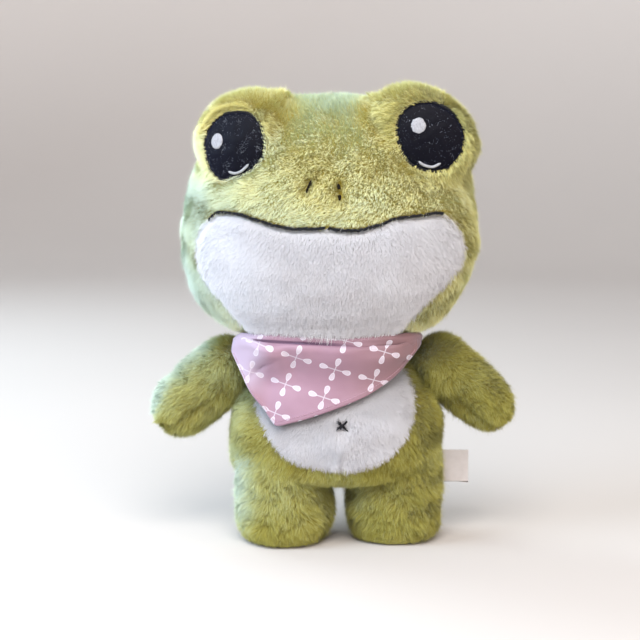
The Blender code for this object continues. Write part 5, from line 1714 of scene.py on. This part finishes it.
def bib():
    cols, rows = 120, 56
    xs = np.linspace(-54.9, 44.3, cols)
    top = pchip([q[0] for q in BIB_TOP], [q[1] for q in BIB_TOP], xs)
    bot = pchip([q[0] for q in BIB_EDGE], [q[1] for q in BIB_EDGE], xs)
    b = np.linspace(0, 1, rows)[:, None]
    z = top * (1 - b) + bot * b
    x = np.broadcast_to(xs, z.shape)
    y = -bib_y(x) - 0.9
    drop = top - z                       # distance below the upper edge
    hang = z - bot
    # the soft bulge that runs down from the upper corner on the frog's right
    k = gauss(x + 37.0 - 0.22 * drop, 7.0) * smooth(42, 14, drop) * smooth(-1.0, 5.0, drop)
    y = y - 3.2 * k
    # and the hollow beside it
    y = y + 1.6 * gauss(x + 25.0 - 0.30 * drop, 4.5) * smooth(30, 10, drop) * smooth(1.0, 6.0, drop)
    # beyond it the cloth turns back over the arm
    y = y + 0.10 * np.maximum(-42.0 - x, 0) ** 1.5
    # soft folds that fade downward
    y = y - 0.7 * np.sin((x + 0.35 * drop) / 4.2) * gauss(drop, 13.0) - 0.45 * np.sin((x - 0.6 * z) / 9.0)
    # it turns in at the crease under the chin, which fades to the frog's left
    y = y + (3.2 - 2.4 * smooth(4, 26, x)) * (1 - smooth(0.0, 2.0, drop)) ** 2 - 0.8 * gauss(drop - 3.6, 2.2) * smooth(22, 2, x)
    y = y - 0.9 * (1 - smooth(0.0, 5.0, hang)) + 0.5 * (1 - smooth(0.0, 1.4, hang))
    # it lies on the belly towards its lower corner
    rest = table_front(TORSO, x.ravel(), z.ravel(), TORSO_X).reshape(x.shape) - 1.5
    y = y + np.maximum(rest - y, 0.0) * 0.7 * smooth(6, 26, drop) * smooth(-47, -32, x)
    # the end on the frog's left runs back into the roll
    y = y + 6.0 * smooth(31, 44.3, x) ** 1.4
    p = np.stack([x, y, z], 2)
    dx, dz = np.gradient(p, axis=1), np.gradient(p, axis=0)
    n = unit(np.cross(dz, dx))
    if n[rows // 2, cols // 2, 1] > 0:
        n = -n
    # a turned hem is thicker than the cloth
    h = 0.34 + 0.05 * smooth(4.2, 2.8, hang)
    side_hem = np.minimum(x + 54.9, 44.3 - x)
    edge = np.minimum(hang, side_hem)
    h = h * (0.35 + 0.65 * smooth(0.0, 0.7, edge))
    front, back = p + n * h[..., None], p - n * h[..., None]
    a = flat_x(x)
    uv = np.stack([(a + 70.0) / 140.0, z / 140.0], 2)
    return cloth_sheet("scarf_front", front, back, uv, scarf_cloth), p


scarf_front, bib_grid = bib()
piece(scarf_front, "scarf_bib", "scarf_bib", slot="pink_cotton")
# stitched hem line, just above the free edge
g = bib_grid
hem_pts, hem_n = [], []
for j in range(2, g.shape[1] - 2):
    col = g[:, j]
    zb = col[-1, 2] + 2.6
    hem_pts.append([np.interp(-zb, -col[:, 2], col[:, c]) for c in range(3)])
hem_pts = spline(np.array(hem_pts), 300)
hn = unit(np.stack([hem_pts[:, 0] / 72.0**2 * 49.2**2 / 40, -np.ones(300), 0 * hem_pts[:, 0]], 1))
seg_on = (np.arange(300) % 5) < 3
rngh = np.random.default_rng(810)
tan = unit(np.gradient(hem_pts, axis=0))
ob = stitches("scarf_hem_stitches", hem_pts[::3] + hn[::3] * 0.62, hn[::3], tan[::3], 1.25, 0.3, 0.0, rngh, hem_thread,
              lambda x: x, dip=0.12)
piece(ob, "scarf_bib", slot="pink_cotton")


def band():
    """Rolled cloth round the neck: a soft roll with a short flap below it at the back."""
    n, seg = 260, 30
    path = spline(BAND_PATH, n, closed=True)
    c, r = path[:, :3], path[:, 3]
    tan = unit(np.roll(c, -1, 0) - np.roll(c, 1, 0))
    out = unit(np.cross(tan, (0, 0, 1)))
    if (out[0] @ (0, -1, 0)) < 0:
        out = -out
    up = np.tile((0.0, 0.0, 1.0), (n, 1))
    s = np.r_[0, np.cumsum(np.linalg.norm(np.diff(c, axis=0), axis=1))]
    total = s[-1] + np.linalg.norm(c[-1] - c[0])
    back = smooth(8, 36, c[:, 1])
    wr = Waves(820, 9.0, 22.0)
    last_front = int(np.argmax((c[:, 1] >= -12) & (s > 5)))
    path_x, flat_edge = s[last_front], float(abs(flat_x(c[last_front, :1])[0]))
    rows, uvs = [], []
    for k in range(seg):
        a = 2 * math.pi * k / seg
        ca, sa = math.cos(a), math.sin(a)
        rad = r * (1 + 0.06 * wr(c + out * (6 * ca) + up * (6 * sa)))
        # creases that run along the roll
        rad = rad * (1 - 0.10 * math.cos(3 * a + 0.8) - 0.05 * math.cos(7 * a))
        px = out * (rad * ca * 0.82)[:, None]
        pz = up * (rad * sa * 1.12)[:, None]
        # flap: the lower outer side reaches down at the back
        low = max(0.0, -sa) ** 1.5
        pz = pz - up * (low * 6.5 * back)[:, None]
        px = px + out * (low * 2.4 * back)[:, None] * (1 if ca > -0.3 else 0.4)
        rows.append(c + px + pz)
        # round the back the print goes on from the front at its own scale; it meets under the knot
        turn = a if a <= math.pi else a - 2 * math.pi
        w = smooth(-14, 0, c[:, 1])
        way = np.where(s < total / 2, -(flat_edge + (s - path_x)), flat_edge + (total - path_x - s))
        along = np.where(c[:, 1] < -12, flat_x(c[:, 0]), way)
        up_mm = (c[:, 2] + 1.3 * rad * sa + 2.0 * (1 - ca)) * (1 - w) + w * (c[:, 2] + 4.2 * turn)
        uvs.append(np.stack([(along + 70.0) / 140.0, up_mm / 140.0], 1))
    v = np.stack(rows, 1)
    # cloth as a grid closed both ways, with an inner face so that it has thickness
    quads = grid_faces(n, seg, close_cols=True, close_rows=True)
    uv = np.stack(uvs, 1)
    return mesh_object("scarf_roll", v.reshape(-1, 3), quads[:, ::-1], None, scarf_cloth, uv=uv.reshape(-1, 2))


scarf_roll = band()
piece(scarf_roll, "torso", "scarf_band", slot="pink_cotton")


def knot():
    """The ends tied at the nape: two crossed lobes of cloth."""
    v, f = ICO[6]
    c = np.array((0.0, 48.5, 105.0))
    r = np.array((6.6, 4.2, 4.6))
    p = v * r
    ang = np.arctan2(p[:, 2], p[:, 0])
    fold = 0.55 * np.cos(5 * ang + 2.2 * p[:, 0] / 6.0) + 0.35 * np.sin(9 * ang)
    cross = -1.3 * gauss(p[:, 0] + 0.5 * p[:, 2], 1.3) * (np.abs(v[:, 1]) > 0.25)
    p = p * (1 + 0.07 * fold + 0.16 * cross * 0.5)[:, None]
    uv = np.stack([(p[:, 0] + 30) / 140.0, (p[:, 2] + 40 + p[:, 1]) / 140.0], 1)
    return mesh_object("scarf_knot_cloth", p + c, None, f, scarf_cloth, uv=uv)


scarf_knot = knot()
piece(scarf_knot, "torso", "scarf_knot", slot="pink_cotton")


def tail(side):
    sgn = -1.0 if side == "right" else 1.0
    rows, cols = 44, 18
    t = np.linspace(0, 1, rows)[:, None]
    w = np.linspace(-1, 1, cols)[None, :]
    length = 19.0
    half = 1.6 + 3.4 * smooth(0.0, 0.45, t) - 1.2 * smooth(0.7, 1.0, t)
    tip = t - 0.10 * np.abs(w) * smooth(0.75, 1.0, t)
    x = sgn * (4.2 + 6.6 * tip) + w * half * 0.92
    z = 103.4 - length * tip * 0.95 + sgn * w * half * 0.35
    y = 47.8 + 0.9 * np.sin(w * 3.2 + 4.0 * t + sgn) * smooth(0.0, 0.3, t) + 1.2 * np.sin(t * 3.4)
    p = np.stack([x, y + 0 * x, z], 2)
    dx, dz = np.gradient(p, axis=1), np.gradient(p, axis=0)
    n = unit(np.cross(dz, dx))
    if n[rows // 2, cols // 2, 1] < 0:
        n = -n
    h = 0.42 + 0 * x
    uv = np.stack([(length * t + 30 + 0 * w) / 140.0, (w * 5 + 60 + 0 * t) / 140.0], 2)
    return cloth_sheet("scarf_end_" + side, p + n * h[..., None], p - n * h[..., None], uv, scarf_cloth)


tails = {}
for side in ("right", "left"):
    tails[side] = tail(side)
    piece(tails[side], "torso", "scarf_tail_" + side, slot="pink_cotton")


# ------------------------------------------------------------------- care label
def label():
    x0, x1, z0, z1 = LABEL
    rows, cols = 30, 60
    # one strip of tape folded in two, its ends in the seam
    length = x1 - x0
    s = np.linspace(-1, 1, cols)[None, :]          # from one end, round the fold, to the other
    r = np.linspace(0, 1, rows)[:, None]
    x = x1 - 0.5 - (length - 0.5) * np.abs(s) ** 1.06 + 0 * r
    gap = 0.55 + 0.5 * (1 - r) * np.sin(np.abs(s) * 2.6)
    y = LABEL_Y + np.sign(s) * gap * np.minimum(1.0, np.sqrt(np.abs(s) * 5.0)) + 0.7 * np.sin((x - x0) / 5.0) * (0.4 + 0.6 * r) \
        + 0.5 * np.sin(r * 4.0) * (x - x0) / length
    z = z0 + (z1 - z0) * r + 0 * s + np.where(s > 0, 0.5, 0.0) * (x - x0) / length * -1.6
    p = np.stack([x, y, z], 2)
    dx, dz = np.gradient(p, axis=1), np.gradient(p, axis=0)
    n = unit(np.cross(dz, dx))
    h = 0.11
    uv = np.stack([(s * 15 + 40 + 0 * r) / 140.0, (r * 18 + 30 + 0 * s) / 140.0], 2)
    return cloth_sheet("label_tape", p + n * h, p - n * h, uv, satin)


care = label()
piece(care, "care_label", "care_label", slot="white_satin")


# ------------------------------------------------------------------------ soles
def sole(side):
    cx, cy = LEGS[side]
    seg, rings = 72, 10
    a = np.linspace(0, 2 * math.pi, seg, endpoint=False)
    rows = []
    prof = [(0.0, 1.0 - 1.3 / 20), (0.25, 1.0 - 0.5 / 20), (0.9, 1.0), (2.6, 1.01), (4.0, 0.98)]
    for i in range(1, 6):
        k = i / 6 * (1.0 - 1.3 / 20)
        rows.append(np.stack([cx + SOLE[0] * k * np.cos(a), cy + SOLE[1] * k * np.sin(a), 0 * a], 1))
    for z, k in prof:
        rows.append(np.stack([cx + SOLE[0] * k * np.cos(a), cy + SOLE[1] * k * np.sin(a), z + 0 * a], 1))
    v = np.vstack([[(cx, cy, 0.0)]] + rows + [[(cx, cy, 4.0)]])
    n = len(rows)
    quads = grid_faces(n, seg, close_cols=True, base=1)
    last = len(v) - 1
    tris = [(0, 1 + (j + 1) % seg, 1 + j) for j in range(seg)]
    b = 1 + (n - 1) * seg
    tris += [(last, b + j, b + (j + 1) % seg) for j in range(seg)]
    return mesh_object("foot_sole_" + side, v, quads, tris, sole_cloth)


for side in ("right", "left"):
    piece(sole(side), "leg_" + side, "sole_" + side, slot="green_plush")


# --------------------------------------------------------------------- filling
def tucked(co):
    """Points of the head's filling, kept under the cloth of the head and its lobes."""
    shapes, soft, e = [HEAD_LOFT, lobe("right"), lobe("left")], [7.0, 7.0], 0.4
    q = to_head(co)
    for _ in range(3):
        d = joined(shapes, q, soft)
        g = np.stack([joined(shapes, q + e * a, soft) - joined(shapes, q - e * a, soft) for a in np.eye(3)], 1)
        q = q - unit(g) * np.maximum(d + 6.6, 0.0)[:, None]
    for side in EYES:
        s, t, h = eye_local(side, q)
        k, _ = eye_ratio(side, s, t)
        over = np.where((k < 1.15) & (h < 14), np.maximum(h + 3.6, 0.0), 0.0)
        q = q - over[:, None] * eye_axes(side)[3]
    return from_head(q)


def filling(node, body):
    """Lumpy fibre filling in the place of a filling solid."""
    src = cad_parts[node]
    me = src.data.copy()
    ob = bpy.data.objects.new("fibre_" + node.replace("_stuffing", ""), me)
    bpy.context.scene.collection.objects.link(ob)
    me.materials.clear()
    me.materials.append(stuffing)
    rm = ob.modifiers.new("remesh", "REMESH")
    rm.mode, rm.voxel_size = "VOXEL", 0.0026
    dg = bpy.context.evaluated_depsgraph_get()
    new = bpy.data.meshes.new_from_object(ob.evaluated_get(dg))
    ob.modifiers.clear()
    ob.data = new
    n = len(new.vertices)
    co, no = np.empty(n * 3), np.empty(n * 3)
    new.vertices.foreach_get("co", co)
    new.vertices.foreach_get("normal", no)
    co, no = co.reshape(-1, 3) / MM, no.reshape(-1, 3)
    co -= no * (1.6 + 0.8 * Waves(900, 7.0, 16.0)(co) + 0.35 * Waves(901, 3.5, 6.0)(co))[:, None]
    if body == "head":
        co = tucked(co)
    new.vertices.foreach_set("co", (co * MM).ravel())
    new.update()
    new.polygons.foreach_set("use_smooth", np.ones(len(new.polygons), bool))
    if not new.materials:
        new.materials.append(stuffing)
    return ob


for node, body in (("head_stuffing", "head"), ("eye_lobe_stuffing_right", "head"), ("eye_lobe_stuffing_left", "head"),
                   ("torso_stuffing", "torso")):
    piece(filling(node, body), body, node, slot="stuffing")
for side in ("right", "left"):
    arm, leg = Arm(side), Leg(side)
    ob = filling("arm_stuffing_" + side, "arm_" + side)
    limb(ob, "torso", "arm_" + side, arm.c - arm.d * 9.0, arm.c + arm.d * 9.0, "arm_stuffing_" + side, slot="stuffing")
    ob = filling("leg_stuffing_" + side, "leg_" + side)
    limb(ob, "torso", "leg_" + side, leg.c + (0, 0, 9.0), leg.c - (0, 0, 9.0), "leg_stuffing_" + side, slot="stuffing")


# ------------------------------------------------------------ area of a mesh
def area_of(ob):
    me = ob.data
    a = np.empty(len(me.polygons))
    me.polygons.foreach_get("area", a)
    return float(a.sum())


for side in ("right", "left"):
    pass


# ------------------------------------------------------------- floor and light
def stage_material(name, a, b, scale):
    m = Nodes(name, rough=0.8, ior_level=0.2)
    c = m.coords()
    n = m.noise(c, scale, 3.0, 0.5)
    parts = m.new("ShaderNodeSeparateXYZ")
    m.link(c, parts.inputs[0])
    m.colour(m.mix(m.math("ADD", m.span(parts.outputs[2], 0.0, 0.6, 0.0, 0.9), m.math("MULTIPLY", n, 0.1)), a, b))
    return m.mat


def backdrop():
    """Round floor that curves up into a plain wall all round."""
    prof = [(0.4, 0.0), (0.9, 0.0), (1.35, 0.0)]
    for k in range(1, 13):
        a = math.pi / 2 * k / 12
        prof.append((1.35 + 0.65 * math.sin(a), 0.65 * (1 - math.cos(a))))
    prof.append((2.0, 1.1))
    seg = 96
    verts = [(0.0, 0.0, 0.0)]
    for r, z in prof:
        verts += [(r * math.cos(2 * math.pi * k / seg), r * math.sin(2 * math.pi * k / seg), z) for k in range(seg)]
    faces = [(0, 1 + k, 1 + (k + 1) % seg) for k in range(seg)]
    for i in range(len(prof) - 1):
        for k in range(seg):
            a, b = 1 + i * seg + k, 1 + i * seg + (k + 1) % seg
            faces.append((a, a + seg, b + seg, b))
    me = bpy.data.meshes.new("backdrop")
    me.from_pydata(verts, [], faces)
    me.polygons.foreach_set("use_smooth", np.ones(len(faces), bool))
    me.materials.append(stage_material("pale_backdrop", srgb(200, 194, 190), srgb(240, 234, 230), 3.0))
    ob = bpy.data.objects.new("backdrop", me)
    bpy.context.scene.collection.objects.link(ob)


backdrop()


def area_light(name, location, target, size, power, colour):
    li = bpy.data.lights.new(name, "AREA")
    li.shape, li.size, li.energy, li.color = "DISK", size, power, colour
    ob = bpy.data.objects.new(name, li)
    bpy.context.scene.collection.objects.link(ob)
    ob.location = location
    d = Vector(target) - Vector(location)
    ob.rotation_euler = d.to_track_quat("-Z", "Y").to_euler()


area_light("window", (-0.95, -0.40, 0.72), (0, 0, 0.18), 0.8, 13.0, (0.66, 0.83, 1.0))
area_light("window_behind", (-0.75, 0.65, 0.80), (0, 0, 0.18), 0.7, 9.5, (0.74, 0.90, 1.0))
area_light("fill", (1.4, -0.9, 0.75), (0, 0, 0.15), 1.2, 8.5, (1.0, 0.86, 0.70))
area_light("front", (0.0, -0.85, 1.10), (0, 0, 0.18), 0.9, 17.0, (1.0, 0.97, 0.94))
world = bpy.data.worlds.new("studio")
world.use_nodes = True
world.node_tree.nodes["Background"].inputs[0].default_value = (0.88, 0.86, 0.88, 1.0)
world.node_tree.nodes["Background"].inputs[1].default_value = 0.50
bpy.context.scene.world = world
bpy.context.scene.view_settings.view_transform = "Standard"
bpy.context.scene.view_settings.look = "None"
bpy.context.scene.view_settings.exposure = 0.0
bpy.context.scene.view_settings.gamma = 1.0

print("STRANDS", strand_count[0])
